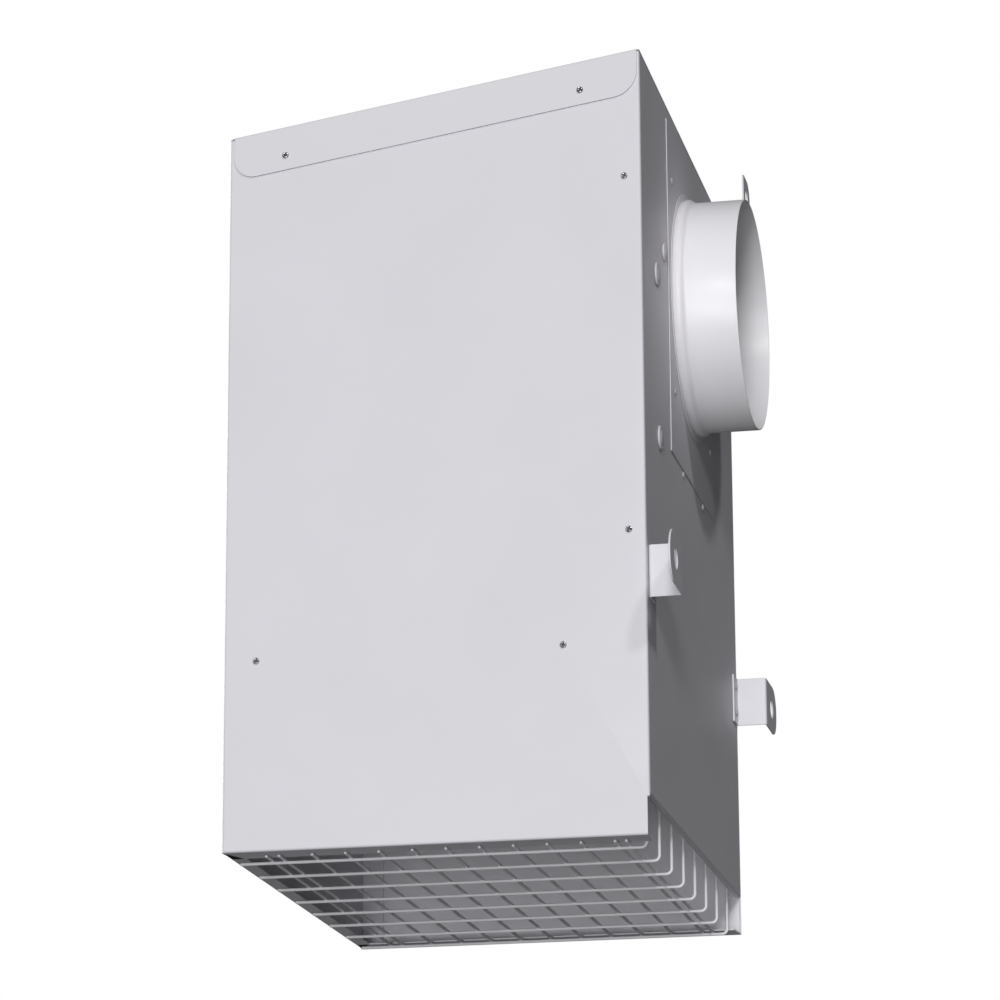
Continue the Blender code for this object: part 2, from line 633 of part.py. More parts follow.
def motor_spider(finish):
    """Three arms over the motor, each with a leg down to the deck."""
    z_low, z_high = 0.2403, 0.2433
    disc = turned("spider_disc", [(0, z_high), (0.030, z_high), (0.030, z_low), (0, z_low)], "z",
                  (FAN_X, FAN_Y, 0), None, 32)
    centre = Matrix.Translation(Vector((FAN_X, FAN_Y, 0)))
    arms = []
    reach = FAN_RADIUS + 0.023
    for index in range(3):
        spin = Matrix.Rotation(math.pi / 2 + 2 * math.pi * index / 3, 4, "Z")
        arm = slab(f"arm_{index}", (0.020, -0.006, z_low + NUDGE), (reach, 0.006, z_high - NUDGE))
        foot = (reach - 0.003, NUDGE - 0.006, DECK_Z + SHEET + GAP)
        leg = slab(f"leg_{index}", foot, (reach - NUDGE, 0.006 - NUDGE, z_high - 2 * NUDGE))
        for piece in (arm, leg):
            piece.matrix_basis = centre @ spin @ piece.matrix_basis
            arms.append(piece)
    return combine("motor_spider", disc, arms, finish)


def hang_on(obj, pivot):
    """Puts a moving piece under the empty on its joint's axis, without moving it."""
    obj.parent = pivot
    obj.matrix_basis = Matrix.Translation(-Vector(pivot.location)) @ obj.matrix_basis


# Inside: heat store and filter.
CASSETTE_X = (0.018, 0.330)
CASSETTE_Y = (PARTITION_Y + 0.004, 0.462)
PLATES = 54
SLOT = 0.0044


def cassette(finish):
    """A frame round the core, with a ledge under its edges."""
    low = (CASSETTE_X[0], CASSETTE_Y[0])
    high = (CASSETTE_X[1], CASSETTE_Y[1])
    ring = [rectangle(low, high), inset_rectangle(low, high, SHEET)]
    height = CORE_HEIGHT + SHEET + GAP
    frame = flat("cassette_frame", ring, height, "z", (0, 0, CASSETTE_Z + height / 2))
    ledge_ring = [inset_rectangle(low, high, NUDGE), inset_rectangle(low, high, 0.012)]
    ledge = flat("cassette_ledge", ledge_ring, SHEET, "z", (0, 0, CASSETTE_Z + SHEET / 2 + NUDGE))
    return combine("core_cassette", frame, [ledge], finish)


def inset_rectangle(low, high, inset):
    return rectangle((low[0] + inset, low[1] + inset), (high[0] - inset, high[1] - inset))


def heat_core(finish):
    """The heat store: upright plates with narrow air slots between them, held together at their ends."""
    inset = SHEET + GAP
    low = (CASSETTE_X[0] + inset, CASSETTE_Y[0] + inset)
    high = (CASSETTE_X[1] - inset, CASSETTE_Y[1] - inset)
    end = 0.012
    pitch = (high[0] - low[0]) / PLATES
    slots = []
    for index in range(1, PLATES):
        middle = low[0] + index * pitch
        slots.append(rectangle((middle - SLOT / 2, low[1] + end), (middle + SLOT / 2, high[1] - end)))
    z_low = CASSETTE_Z + SHEET + NUDGE + GAP
    return flat("heat_core", [rectangle(low, high), *slots], CORE_HEIGHT - GAP, "z",
                (0, 0, z_low + (CORE_HEIGHT - GAP) / 2), finish)


def rails(finish):
    """Angle rails on the side panels, which the cassette slides on."""
    y_low, y_high = PARTITION_Y + SHEET + GAP, 0.464
    top = CASSETTE_Z - GAP
    x_outer = SHEET + LINER + 3 * GAP
    upright = slab("outer_upright", (x_outer, y_low, top - 0.014), (x_outer + SHEET, y_high, top))
    ledge_low = (x_outer + NUDGE, y_low + NUDGE, top - SHEET - NUDGE)
    ledge = slab("outer_ledge", ledge_low, (x_outer + 0.020, y_high - NUDGE, top - NUDGE))
    combine("rail_outer", upright, [ledge], finish)
    x_wall = WALL_FACE - GAP
    upright = slab("wall_upright", (x_wall - SHEET, y_low, top - 0.014), (x_wall, y_high, top))
    ledge_low = (x_wall - 0.030, y_low + NUDGE, top - SHEET - NUDGE)
    ledge = slab("wall_ledge", ledge_low, (x_wall - NUDGE, y_high - NUDGE, top - NUDGE))
    combine("rail_wall", upright, [ledge], finish)


def air_filter(frame_finish, medium_finish):
    low, high = (CASSETTE_X[0], CASSETTE_Y[0]), (CASSETTE_X[1], CASSETTE_Y[1])
    z_low = CASSETTE_Z + CORE_HEIGHT + SHEET + 3 * GAP
    ring = [rectangle(low, high), inset_rectangle(low, high, 0.010)]
    flat("filter_frame", ring, FILTER_HEIGHT, "z", (0, 0, z_low + FILTER_HEIGHT / 2), frame_finish)
    inside_low, inside_high = inset_rectangle(low, high, 0.010 + GAP)[0], inset_rectangle(low, high, 0.010 + GAP)[2]
    slab("filter_medium", (*inside_low, z_low + 0.002), (*inside_high, z_low + FILTER_HEIGHT - 0.002), medium_finish)


# Inside: damper.
def damper(blade_finish, shaft_finish, bush_finish, motor_finish, pivot):
    y_front, y_back = DUCT_Y - DUCT_RADIUS, DUCT_Y + DUCT_RADIUS
    shaft_end = y_back + 0.066
    half = [(shaft_end - (y_front - 0.010)) / 2, (shaft_end + y_front - 0.010) / 2]
    shaft = turned("damper_shaft", [(0, half[0]), (SHAFT_RADIUS, half[0]), (SHAFT_RADIUS, -half[0]), (0, -half[0])],
                   "y", (DAMPER_X, half[1], DUCT_Z), shaft_finish, 24)
    blade = flat("damper_blade", [circle((0, 0), DUCT_RADIUS - 0.003, 64)], 0.002, "x",
                 (DAMPER_X - SHAFT_RADIUS - GAP - 0.001, DUCT_Y, DUCT_Z), blade_finish)
    bore = SHAFT_RADIUS + GAP
    outer = 0.007 - GAP
    for name, y, out in (("shaft_bush_front", y_front, -1), ("shaft_bush_back", y_back, 1)):
        ends = sorted((out * 0.0045, -out * 0.0010))
        profile = [(outer, ends[1]), (outer, ends[0]), (bore, ends[0]), (bore, ends[1])]
        turned(name, profile, "y", (DAMPER_X, y, DUCT_Z), bush_finish, 24)
    body = rounded((DAMPER_X - 0.034, DUCT_Z - 0.060), (DAMPER_X + 0.032, DUCT_Z + 0.030), (0.006,) * 4)
    hole = circle((DAMPER_X, DUCT_Z), SHAFT_RADIUS + 0.002, 24)
    flat("damper_actuator", [body, hole], 0.046, "-y", (0, y_back + 0.031, 0), motor_finish)
    clamp = turned("shaft_clamp", [(0.011, 0.005), (0.011, -0.005), (bore, -0.005), (bore, 0.005)], "y",
                   (DAMPER_X, y_back + 0.0600, DUCT_Z), shaft_finish, 24)
    arm_x = DAMPER_X + 0.032 + GAP
    foot_low, foot_high = DUCT_Z - 0.045, DUCT_Z - 0.015
    arm = slab("actuator_arm", (arm_x, y_back + 0.020, foot_low), (WALL_FACE - GAP, y_back + 0.0215, foot_high))
    foot = slab("actuator_foot", (WALL_FACE - GAP - SHEET, y_back + 0.020 + NUDGE, foot_low + NUDGE),
                (WALL_FACE - GAP - NUDGE, y_back + 0.040, foot_high - NUDGE))
    combine("actuator_bracket", arm, [foot], blade_finish)
    for piece in (shaft, blade, clamp):
        hang_on(piece, pivot)


# Inside: controls.
def controls(case_finish, board_finish, block_finish):
    x_low, x_high = 0.255, 0.3425
    y_low, y_high = 0.026, 0.122
    z_low, z_high = 0.322, 0.540
    wall = 0.002
    case = slab("case", (x_low, y_low, z_low), (x_high, y_high, z_high))
    hollow = slab("hollow", (x_low + wall, y_low - 0.01, z_low + wall), (x_high - wall, y_high - wall, z_high - wall))
    bars = []
    for index, ((y, z), radius) in enumerate([(place, CABLE_HOLE) for place in CABLE_ENTRIES.values()]
                                             + [(SENSOR_ENTRY, SENSOR_HOLE)]):
        bar = turned(f"bar_{index}", [(0, 0.01), (radius, 0.01), (radius, -0.01), (0, -0.01)], "x",
                     (x_high, y, z), None, 24)
        mesh = evaluated_mesh(bar)
        matrix = bar.matrix_basis.copy()
        bpy.data.objects.remove(bar, do_unlink=True)
        bars.append(add_object(f"bar_{index}", mesh, None, matrix))
    combine("control_box", case, [hollow, *bars], case_finish, "DIFFERENCE")
    lid_low = (x_low, y_low - GAP - wall, z_low)
    slab("control_box_lid", lid_low, (x_high, y_low - GAP, z_high), case_finish)
    board_y = y_high - wall - 0.010
    slab("circuit_board", (x_low + 0.006, board_y, z_low + 0.012), (x_high - 0.010, board_y + 0.0016, z_high - 0.050),
         board_finish)
    block_high = (x_low + 0.060, board_y - GAP, z_low + 0.045)
    slab("terminal_block", (x_low + 0.010, board_y - 0.016, z_low + 0.025), block_high, block_finish)


def build():
    paint = material("powder_paint", (0.70, 0.69, 0.73), 0.42)
    zinc = material("zinc_sheet", (0.62, 0.63, 0.65), 0.38, 0.9)
    spigot = material("spigot_metal", (0.78, 0.78, 0.80), 0.35, 0.3)
    steel = material("bright_steel", (0.70, 0.70, 0.72), 0.28, 1.0)
    guard = material("guard_wire", (0.78, 0.78, 0.80), 0.35, 0.3)
    plastic = material("black_plastic", (0.03, 0.03, 0.035), 0.5)
    pale = material("pale_rubber", (0.78, 0.78, 0.80), 0.55)
    foam = material("grey_foam", (0.10, 0.10, 0.11), 0.9)
    core = material("core_aluminium", (0.75, 0.76, 0.78), 0.35, 1.0)
    medium = material("filter_fleece", (0.85, 0.86, 0.86), 0.95)
    board = material("circuit_board", (0.03, 0.22, 0.10), 0.45)
    case = material("control_case", (0.55, 0.56, 0.58), 0.5)
    blade = material("fan_plastic", (0.06, 0.06, 0.065), 0.45)
    roof_panel(paint)
    front_panel(paint)
    back_panel(paint)
    outer_panel(paint)
    wall_panel(paint)
    spigot_plate(paint)
    duct_spigot(spigot)
    inner_collar(zinc)
    side_bracket("bracket_front", BRACKET_INSET, 1, FRONT_BRACKET_Z, paint)
    side_bracket("bracket_back", DEPTH - BRACKET_INSET, -1, BACK_BRACKET_Z, paint)
    top_bracket("bracket_top", paint)
    wire_guard(guard)
    screws(steel)
    rivets(steel)
    cable_plugs(pale)
    liners(foam)
    fan_deck(zinc)
    partition(zinc)
    fan_axis = empty("fan_axis", (FAN_X, FAN_Y, 0.192), CASING)
    fan_ring(zinc)
    fan_impeller(blade, fan_axis)
    fan_shaft(steel, fan_axis)
    fan_motor(plastic)
    motor_spider(zinc)
    cassette(zinc)
    heat_core(core)
    rails(zinc)
    air_filter(plastic, medium)
    damper_axis = empty("damper_axis", (DAMPER_X, DUCT_Y, DUCT_Z), CASING)
    damper(zinc, steel, plastic, plastic, damper_axis)
    controls(case, board, plastic)


clear_scene()
UNIT = new_collection("heat_recovery_unit")
CASING = empty("casing_corner", (-WIDTH - STAND_OFF, -DUCT_Y, -DUCT_Z))
build()
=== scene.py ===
"""Looks for the wall-hung heat recovery unit: folded sheets, brackets, spigot, wire guard, fan,
damper and controls in fine detail, with procedural materials, studio light and the camera."""

import json
import math

import bmesh
import bpy
from mathutils import Matrix, Vector


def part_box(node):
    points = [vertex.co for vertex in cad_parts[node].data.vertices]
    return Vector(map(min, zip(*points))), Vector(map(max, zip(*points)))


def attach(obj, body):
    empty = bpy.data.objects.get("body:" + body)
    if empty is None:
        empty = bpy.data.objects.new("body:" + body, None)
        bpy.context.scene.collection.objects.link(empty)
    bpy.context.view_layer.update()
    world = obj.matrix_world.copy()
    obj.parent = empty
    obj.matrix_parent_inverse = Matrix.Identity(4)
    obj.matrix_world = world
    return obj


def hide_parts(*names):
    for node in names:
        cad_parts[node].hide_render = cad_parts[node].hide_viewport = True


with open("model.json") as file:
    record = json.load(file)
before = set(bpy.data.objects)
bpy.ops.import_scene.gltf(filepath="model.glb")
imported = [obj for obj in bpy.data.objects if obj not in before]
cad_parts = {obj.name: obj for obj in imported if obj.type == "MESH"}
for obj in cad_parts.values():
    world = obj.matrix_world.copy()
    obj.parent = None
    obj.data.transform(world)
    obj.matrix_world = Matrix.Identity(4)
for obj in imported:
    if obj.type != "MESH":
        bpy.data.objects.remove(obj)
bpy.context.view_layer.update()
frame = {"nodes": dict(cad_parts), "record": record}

# The casing frame, in metres: its origin is the casing's lower front outer corner. X runs to the
# wall, Y to the back and Z up.
CASING = Vector((-0.375, -0.2448, -0.5003))
WIDTH, DEPTH = 0.347, 0.483
OUTER_HEIGHT, WALL_HEIGHT = 0.605, 0.657
SLOPE = (WALL_HEIGHT - OUTER_HEIGHT) / WIDTH
SHEET, GAP = 0.0012, 0.0003
PANEL_BOTTOM = 0.033
TURN = 2 * math.pi

# Folds: an end panel's bottom lip and its narrow returns, a side panel's upright flanges, and the
# radii of both panels' folds. NOTCH is the cut in the front panel's corner, and EAR is how far the
# helper points of an outline are from its corners.
LIP, RETURN, FLANGE = 0.028, 0.0024, 0.020
END_FOLD, SIDE_FOLD = 0.0021, 0.0016
NOTCH, EAR = 0.002, 0.003

# The duct, the plate under its spigot, the damper and the fan. Both shafts have one radius.
DUCT_Y, DUCT_Z, DUCT_RADIUS = 0.2448, 0.5003, 0.100
BORE = DUCT_RADIUS - 0.001
PLATE_FACE, PLATE_SHEET = 0.0010, 0.0008
DAMPER_X = 0.300
SHAFT = 0.0040
FAN_X, FAN_Y, FAN_RADIUS = 0.176, 0.300, 0.124
FAN_BORE = 0.0043
DECK_Z = 0.164
BLADES = 7

# Wall brackets, by the middle of each one's web. TIP is from the web to the tab's end.
BRACKET_SHEET, STAND_OFF = 0.0015, 0.028
BRACKET_FLANGE, BRACKET_TIP = 0.022, 0.062
BRACKET_INSET = 0.008
FRONT_BRACKET_Z, BACK_BRACKET_Z = 0.215, 0.210
TOP_BRACKET_Y, TOP_BRACKET_Z = 0.4170, 0.6245

# Fasteners. The last two are half the distance between a bracket's rivets.
SCREW_HOLE, SCREW_HEAD = 0.0016, 0.0028
RIVET_HOLE, SHANK = 0.0019, 0.0014
PLATE_RIVET, RAIL_RIVET, BRACKET_RIVET = 0.0032, 0.0028, 0.0030
SIDE_RIVETS, TOP_RIVETS = 0.012, 0.010

# Grommets, as y, z and the radius of the hole.
GROMMETS = {
    "cable_grommet_upper": (0.0700, 0.4840, 0.0085),
    "cable_grommet_lower": (0.0730, 0.3440, 0.0085),
    "sensor_grommet": (0.1090, 0.5160, 0.0065),
}

# Stage. Each lamp has the direction from the object to it, its strength, and its width in degrees.
FLOOR_Z = -1.5
AMBIENT = 0.050
LAMPS = {
    "front_fill": ((0.04, -0.97, -0.19), 1.45, 20),
    "front_key": ((0.13, -0.96, 0.22), 1.18, 10),
    "side_light": ((0.47, -0.59, 0.65), 0.63, 5),
    "ground_bounce": ((0.35, -0.32, -0.88), 0.15, 60),
    "back_light": ((-0.85, 0.45, 0.25), 2.0, 15),
}


# Materials.
class Look:
    """A Principled material with short calls for its procedural nodes, in object coordinates."""

    def __init__(self, name, colour, roughness, metallic=0.0, **inputs):
        self.made = bpy.data.materials.new(name)
        self.made.use_nodes = True
        self.tree = self.made.node_tree
        self.shader = self.tree.nodes["Principled BSDF"]
        self.colour = colour
        self.set("Base Color", (*colour, 1))
        self.set("Roughness", roughness)
        self.set("Metallic", metallic)
        for key, value in inputs.items():
            self.set(key.replace("_", " "), value)
        self.place = self.tree.nodes.new("ShaderNodeTexCoord").outputs["Object"]

    def set(self, key, value):
        self.shader.inputs[key].default_value = value

    def node(self, kind, links=(), **values):
        """A new node. A value is a property where the node has one of that name, else an input."""
        made = self.tree.nodes.new(kind)
        for key, value in values.items():
            if hasattr(made, key):
                setattr(made, key, value)
            else:
                made.inputs[key.replace("_", " ")].default_value = value
        for key, source in dict(links).items():
            self.tree.links.new(source, made.inputs[key])
        return made

    def stretched(self, scale):
        return self.node("ShaderNodeMapping", {"Vector": self.place}, Scale=scale).outputs[0]

    def noise(self, scale, detail=3, place=None):
        links = {"Vector": place or self.place}
        return self.node("ShaderNodeTexNoise", links, Scale=scale, Detail=detail).outputs[0]

    def cells(self, scale, output="Distance"):
        links = {"Vector": self.place}
        return self.node("ShaderNodeTexVoronoi", links, Scale=scale).outputs[output]

    def ramp(self, source, low, high, start=0.3, end=0.7):
        """The source from start to end, mapped to low to high."""
        made = self.node("ShaderNodeMapRange", {"Value": source})
        for index, value in enumerate((start, end, low, high), 1):
            made.inputs[index].default_value = value
        return made.outputs[0]

    def vary_colour(self, source, dark, light=None, start=0.3, end=0.7):
        light = light or self.colour
        mix = self.node("ShaderNodeMix", data_type="RGBA")
        self.tree.links.new(self.ramp(source, 0, 1, start, end), mix.inputs["Factor"])
        mix.inputs[6].default_value = (*dark, 1)
        mix.inputs[7].default_value = (*light, 1)
        self.tree.links.new(mix.outputs[2], self.shader.inputs["Base Color"])

    def vary_roughness(self, source, low, high):
        self.tree.links.new(self.ramp(source, low, high), self.shader.inputs["Roughness"])

    def bump(self, *layers):
        """Each layer is (source, height in metres). The first is the coarsest."""
        normal = None
        for source, height in layers:
            made = self.node("ShaderNodeBump", {"Height": source}, Strength=1.0, Distance=height)
            if normal:
                self.tree.links.new(normal, made.inputs["Normal"])
            normal = made.outputs[0]
        self.tree.links.new(normal, self.shader.inputs["Normal"])
        return self


def tone(colour, factor):
    return tuple(part * factor for part in colour)


def powder_coat(name, colour, roughness):
    look = Look(name, colour, roughness, Specular_IOR_Level=0.35)
    look.vary_colour(look.noise(9, 4), tone(colour, 0.975))
    look.vary_roughness(look.noise(26, 3), roughness - 0.04, roughness + 0.06)
    return look.bump((look.noise(5, 2), 0.00003), (look.noise(900, 2), 0.00001)).made


def zinc_sheet():
    colour = (0.60, 0.61, 0.63)
    look = Look("zinc_sheet", colour, 0.36, 0.85)
    spangle = look.cells(95, "Color")
    look.vary_colour(spangle, tone(colour, 0.78), tone(colour, 1.08), 0, 1)
    look.vary_roughness(look.noise(150, 4), 0.28, 0.46)
    return look.bump((look.cells(95), 0.00004), (look.noise(700, 2), 0.000008)).made


def bright_steel():
    look = Look("bright_steel", (0.66, 0.66, 0.68), 0.3, 1.0)
    grain = look.noise(600, 3, look.stretched((1, 1, 0.06)))
    look.vary_colour(grain, (0.52, 0.52, 0.54))
    look.vary_roughness(grain, 0.22, 0.42)
    return look.bump((grain, 0.00001)).made


# Painted shade: the screw recesses get this near-black colour for the shade inside them; their
# steel is the head's own.
def painted_recess_shade():
    look = Look("screw_recess_painted_shade", (0.10, 0.10, 0.105), 0.5, 0.6)
    look.vary_colour(look.noise(800), (0.05, 0.05, 0.055))
    return look.bump((look.noise(900), 0.00001)).made


def dull_alloy():
    look = Look("rivet_alloy", (0.50, 0.50, 0.52), 0.62, 0.15, Specular_IOR_Level=0.2)
    look.vary_colour(look.noise(700), (0.42, 0.42, 0.44))
    return look.bump((look.noise(900), 0.00001)).made


def rubber(name, colour, roughness=0.6):
    look = Look(name, colour, roughness, Specular_IOR_Level=0.3)
    look.vary_colour(look.noise(60, 4), tone(colour, 0.9))
    look.vary_roughness(look.noise(200), roughness - 0.08, roughness + 0.1)
    return look.bump((look.noise(1500, 2), 0.00001)).made


def moulded(name, colour, roughness=0.45):
    look = Look(name, colour, roughness)
    look.vary_colour(look.noise(30, 4), tone(colour, 0.85))
    look.vary_roughness(look.noise(300), roughness - 0.06, roughness + 0.08)
    return look.bump((look.cells(1100), 0.00002)).made


def insulation():
    colour = (0.085, 0.087, 0.092)
    look = Look("insulation_board", colour, 0.9, Specular_IOR_Level=0.15)
    beads = look.cells(230)
    look.vary_colour(beads, tone(colour, 0.5), tone(colour, 1.5), 0, 0.9)
    return look.bump((beads, 0.0005), (look.noise(900, 4), 0.00006)).made


def core_metal():
    colour = (0.74, 0.75, 0.77)
    look = Look("core_aluminium", colour, 0.4, 0.95)
    mill = look.noise(260, 3, look.stretched((1, 0.05, 1)))
    look.vary_colour(mill, tone(colour, 0.82))
    look.vary_roughness(mill, 0.3, 0.5)
    return look.bump((mill, 0.00002)).made


def fleece():
    colour = (0.80, 0.81, 0.81)
    look = Look("filter_fleece", colour, 0.92, Specular_IOR_Level=0.1, Sheen_Weight=0.3)
    fibre = look.noise(700, 6, look.stretched((1, 0.3, 1)))
    look.vary_colour(fibre, tone(colour, 0.78))
    return look.bump((fibre, 0.00012)).made


def board_resist():
    look = Look("circuit_board", (0.018, 0.19, 0.07), 0.35)
    tracks = look.cells(160)
    look.vary_colour(tracks, (0.012, 0.11, 0.04), (0.03, 0.26, 0.10), 0.1, 0.25)
    look.vary_roughness(look.noise(90), 0.25, 0.45)
    return look.bump((tracks, 0.00002)).made


LOOKS = {
    "casing_paint": powder_coat("casing_paint", (0.665, 0.655, 0.695), 0.5),
    # Painted light: bracket_paint is the casing paint made a little lighter, to brighten the lit
    # bracket webs.
    "bracket_paint": powder_coat("bracket_paint", (0.70, 0.69, 0.73), 0.45),
    # Painted light: spigot_paint is the casing paint made lighter, for the brighter light the
    # spigot gets.
    "spigot_paint": powder_coat("spigot_paint", (0.77, 0.76, 0.79), 0.36),
    "guard_wire": powder_coat("guard_wire", (0.70, 0.69, 0.72), 0.38),
    "zinc_sheet": zinc_sheet(),
    "bright_steel": bright_steel(),
    "pale_rubber": rubber("pale_rubber", (0.62, 0.61, 0.64)),
    "black_plastic": moulded("black_plastic", (0.028, 0.028, 0.031)),
    "fan_plastic": moulded("fan_plastic", (0.05, 0.051, 0.055), 0.4),
    "control_case": moulded("control_case", (0.50, 0.51, 0.53)),
    "circuit_board": board_resist(),
    "insulation_board": insulation(),
    "core_aluminium": core_metal(),
    "filter_fleece": fleece(),
}
RECESS_SHADE = painted_recess_shade()
RIVET_ALLOY = dull_alloy()
BLACK_RUBBER = rubber("black_rubber", (0.022, 0.022, 0.024))
RELAY_WHITE = moulded("relay_white", (0.70, 0.70, 0.66), 0.4)

slot_of = {part["node"]: part["material_slot"] for part in frame["record"]["subparts"]}
for node_name, node in frame["nodes"].items():
    for material_slot in node.material_slots:
        material_slot.material = LOOKS[slot_of[node_name]]


# Pieces.
def piece(name, data, slot, body="casing", replaces=(), extra=()):
    """A shown object from a mesh or curve in the casing frame."""
    data.transform(Matrix.Translation(CASING))
    data.materials.clear()
    for finish in (LOOKS[slot], *extra):
        data.materials.append(finish)
    obj = bpy.data.objects.new(name, data)
    bpy.context.scene.collection.objects.link(obj)
    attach(obj, body)
    if replaces:
        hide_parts(*replaces)
    return obj


def mesh_of(name, bm, smooth=True, angle=40):
    """The finished mesh, shaded smooth but for edges sharper than the angle, in degrees."""
    mesh = bpy.data.meshes.new(name)
    bm.to_mesh(mesh)
    bm.free()
    if smooth:
        mesh.shade_smooth()
        mesh.set_sharp_from_angle(angle=math.radians(angle))
    return mesh


def modifier(obj, kind, **values):
    made = obj.modifiers.new(kind.lower(), kind)
    for key, value in values.items():
        setattr(made, key, value)


def soften(obj, width):
    """Breaks the sharp edges and keeps the flats flat."""
    modifier(obj, "BEVEL", width=width, segments=2, limit_method="ANGLE",
             angle_limit=math.radians(40), use_clamp_overlap=False)
    modifier(obj, "WEIGHTED_NORMAL", keep_sharp=False)
    return obj


def circle(centre, radius, count=32):
    turns = [TURN * k / count for k in range(count)]
    return [(centre[0] + radius * math.cos(t), centre[1] + radius * math.sin(t)) for t in turns]


def arc(centre, radius, start, end, steps):
    """Points round a centre, from start to end in degrees."""
    turns = [math.radians(start + (end - start) * k / steps) for k in range(steps + 1)]
    return [(centre[0] + radius * math.cos(t), centre[1] + radius * math.sin(t)) for t in turns]


def on_x(x, points):
    return [(x, y, z) for y, z in points]


def on_y(y, points):
    return [(x, y, z) for x, z in points]


def roof_at(x):
    return OUTER_HEIGHT + SLOPE * x


def under_roof(x):
    return roof_at(x) - SHEET - 2 * GAP


# Screws in the front, as what each one holds, x and z. Rivets in the wall side, as y and z.
SCREWS = [("roof", x, roof_at(x) - 0.0255) for x in (0.048, 0.2975)]
SCREWS += [("side", WIDTH - 0.0137, z) for z in (0.547, 0.248)]
SCREWS += [("deck", x, 0.156) for x in (0.027, 0.279)]
PLATE_RIVETS = [(DUCT_Y + y, DUCT_Z + z) for y in (-0.094, 0.094) for z in (-0.094, 0.094)]
RAIL_RIVETS = [(DUCT_Y + y, 0.3450) for y in (-0.053, 0.053)]


class Folded:
    """A folded sheet: an outer surface whose fold edges are rounded, then given its thickness."""

    def __init__(self):
        self.bm = bmesh.new()
        self.fold = self.bm.edges.layers.float.new("bevel_weight_edge")

    def ring(self, points):
        return [self.bm.verts.new(point) for point in points]

    def fill(self, *rings):
        """One flat face inside the first ring, with the other rings as its holes."""
        if len(rings) == 1:
            self.bm.faces.new(rings[0])
            return
        edges = []
        for ring in rings:
            for a, b in zip(ring, ring[1:] + ring[:1]):
                edges.append(self.bm.edges.get((a, b)) or self.bm.edges.new((a, b)))
        bmesh.ops.triangle_fill(self.bm, use_beauty=True, edges=edges)

    def crease(self, chain):
        """Marks the edges along a chain of corners as a fold."""
        for a, b in zip(chain, chain[1:]):
            self.bm.edges.get((a, b))[self.fold] = 1.0

    def flange(self, ring, start, direction, length, inset_a, inset_b):
        """A flap off an eared outline's side, from corner start to the next, its ends set in."""
        chain = [ring[(3 * start + step) % len(ring)] for step in range(4)]
        a, b = chain[0], chain[-1]
        along = (b.co - a.co).normalized()
        far_b = self.bm.verts.new(b.co + Vector(direction) * length - along * inset_b)
        far_a = self.bm.verts.new(a.co + Vector(direction) * length + along * inset_a)
        self.bm.faces.new((*chain, far_b, far_a))
        self.crease(chain)

    def finish(self, name, out, radius, offset=-1, thickness=SHEET, **where):
        """The piece. Its largest face looks out, and radius rounds its folds."""
        bmesh.ops.recalc_face_normals(self.bm, faces=self.bm.faces)
        largest = max(self.bm.faces, key=lambda face: face.calc_area())
        largest.normal_update()
        if largest.normal.dot(Vector(out)) < 0:
            bmesh.ops.reverse_faces(self.bm, faces=self.bm.faces)
        obj = piece(name, mesh_of(name, self.bm, angle=180), **where)
        modifier(obj, "BEVEL", width=radius, segments=5, limit_method="WEIGHT",
                 use_clamp_overlap=False)
        modifier(obj, "SOLIDIFY", thickness=thickness, offset=offset, use_even_offset=True)
        soften(obj, 0.00025)


def eared(points):
    """The same outline with two more points on every side, near its corners. A fold that ends at
    such a corner leaves the rest of the face flat."""
    made = []
    for a, b in zip(points, points[1:] + points[:1]):
        a, b = Vector(a), Vector(b)
        shift = (b - a) * min(EAR / (b - a).length, 0.33)
        made += [tuple(a), tuple(a + shift), tuple(b - shift)]
    return made


def end_sheet(name, y, inward, holes, node):
    """The front or back panel: a bottom lip, and edges rolled round to the sides. The front
    panel is notched beside the wall panel's bottom."""
    sheet = Folded()
    notch = NOTCH if inward > 0 else 0
    corner = [(WIDTH, 0)]
    if notch:
        step = PANEL_BOTTOM - notch
        corner = [(WIDTH - notch, 0), (WIDTH - notch, step), (WIDTH, step)]
    outline = [(0, 0), *corner, (WIDTH, under_roof(WIDTH)), (0, under_roof(0))]
    ring = sheet.ring(eared(on_y(y, outline)))
    sheet.fill(ring, *[sheet.ring(on_y(y, hole)) for hole in holes])
    turn_in = (0, inward, 0)
    sheet.flange(ring, 0, turn_in, LIP, 0.002, 0.003 - notch)
    sheet.flange(ring, len(outline) - 1, turn_in, RETURN, 0, 0.001)
    sheet.flange(ring, len(outline) - 3, turn_in, RETURN, 0.001, 0)
    sheet.finish(name, (0, -inward, 0), END_FOLD, slot="casing_paint", replaces=[node])


def side_sheet(name, x, inward, bottom, holes, lip, lip_inset, node):
    """A side panel between the end panels, with three edges folded in."""
    sheet = Folded()
    low, high = RETURN + GAP, DEPTH - RETURN - GAP
    top = under_roof(min(x, x + inward * SHEET))
    outline = [(low, bottom), (high, bottom), (high, top), (low, top)]
    ring = sheet.ring(eared(on_x(x, outline)))
    sheet.fill(ring, *[sheet.ring(on_x(x, hole)) for hole in holes])
    turn_in = (inward, 0, 0)
    sheet.flange(ring, 0, turn_in, lip, lip_inset, lip_inset)
    for corner, start, end in ((1, 0.002, 0.004), (3, 0.004, 0.002)):
        sheet.flange(ring, corner, turn_in, FLANGE, start, end)
    sheet.finish(name, (-inward, 0, 0), SIDE_FOLD, slot="casing_paint", replaces=[node])


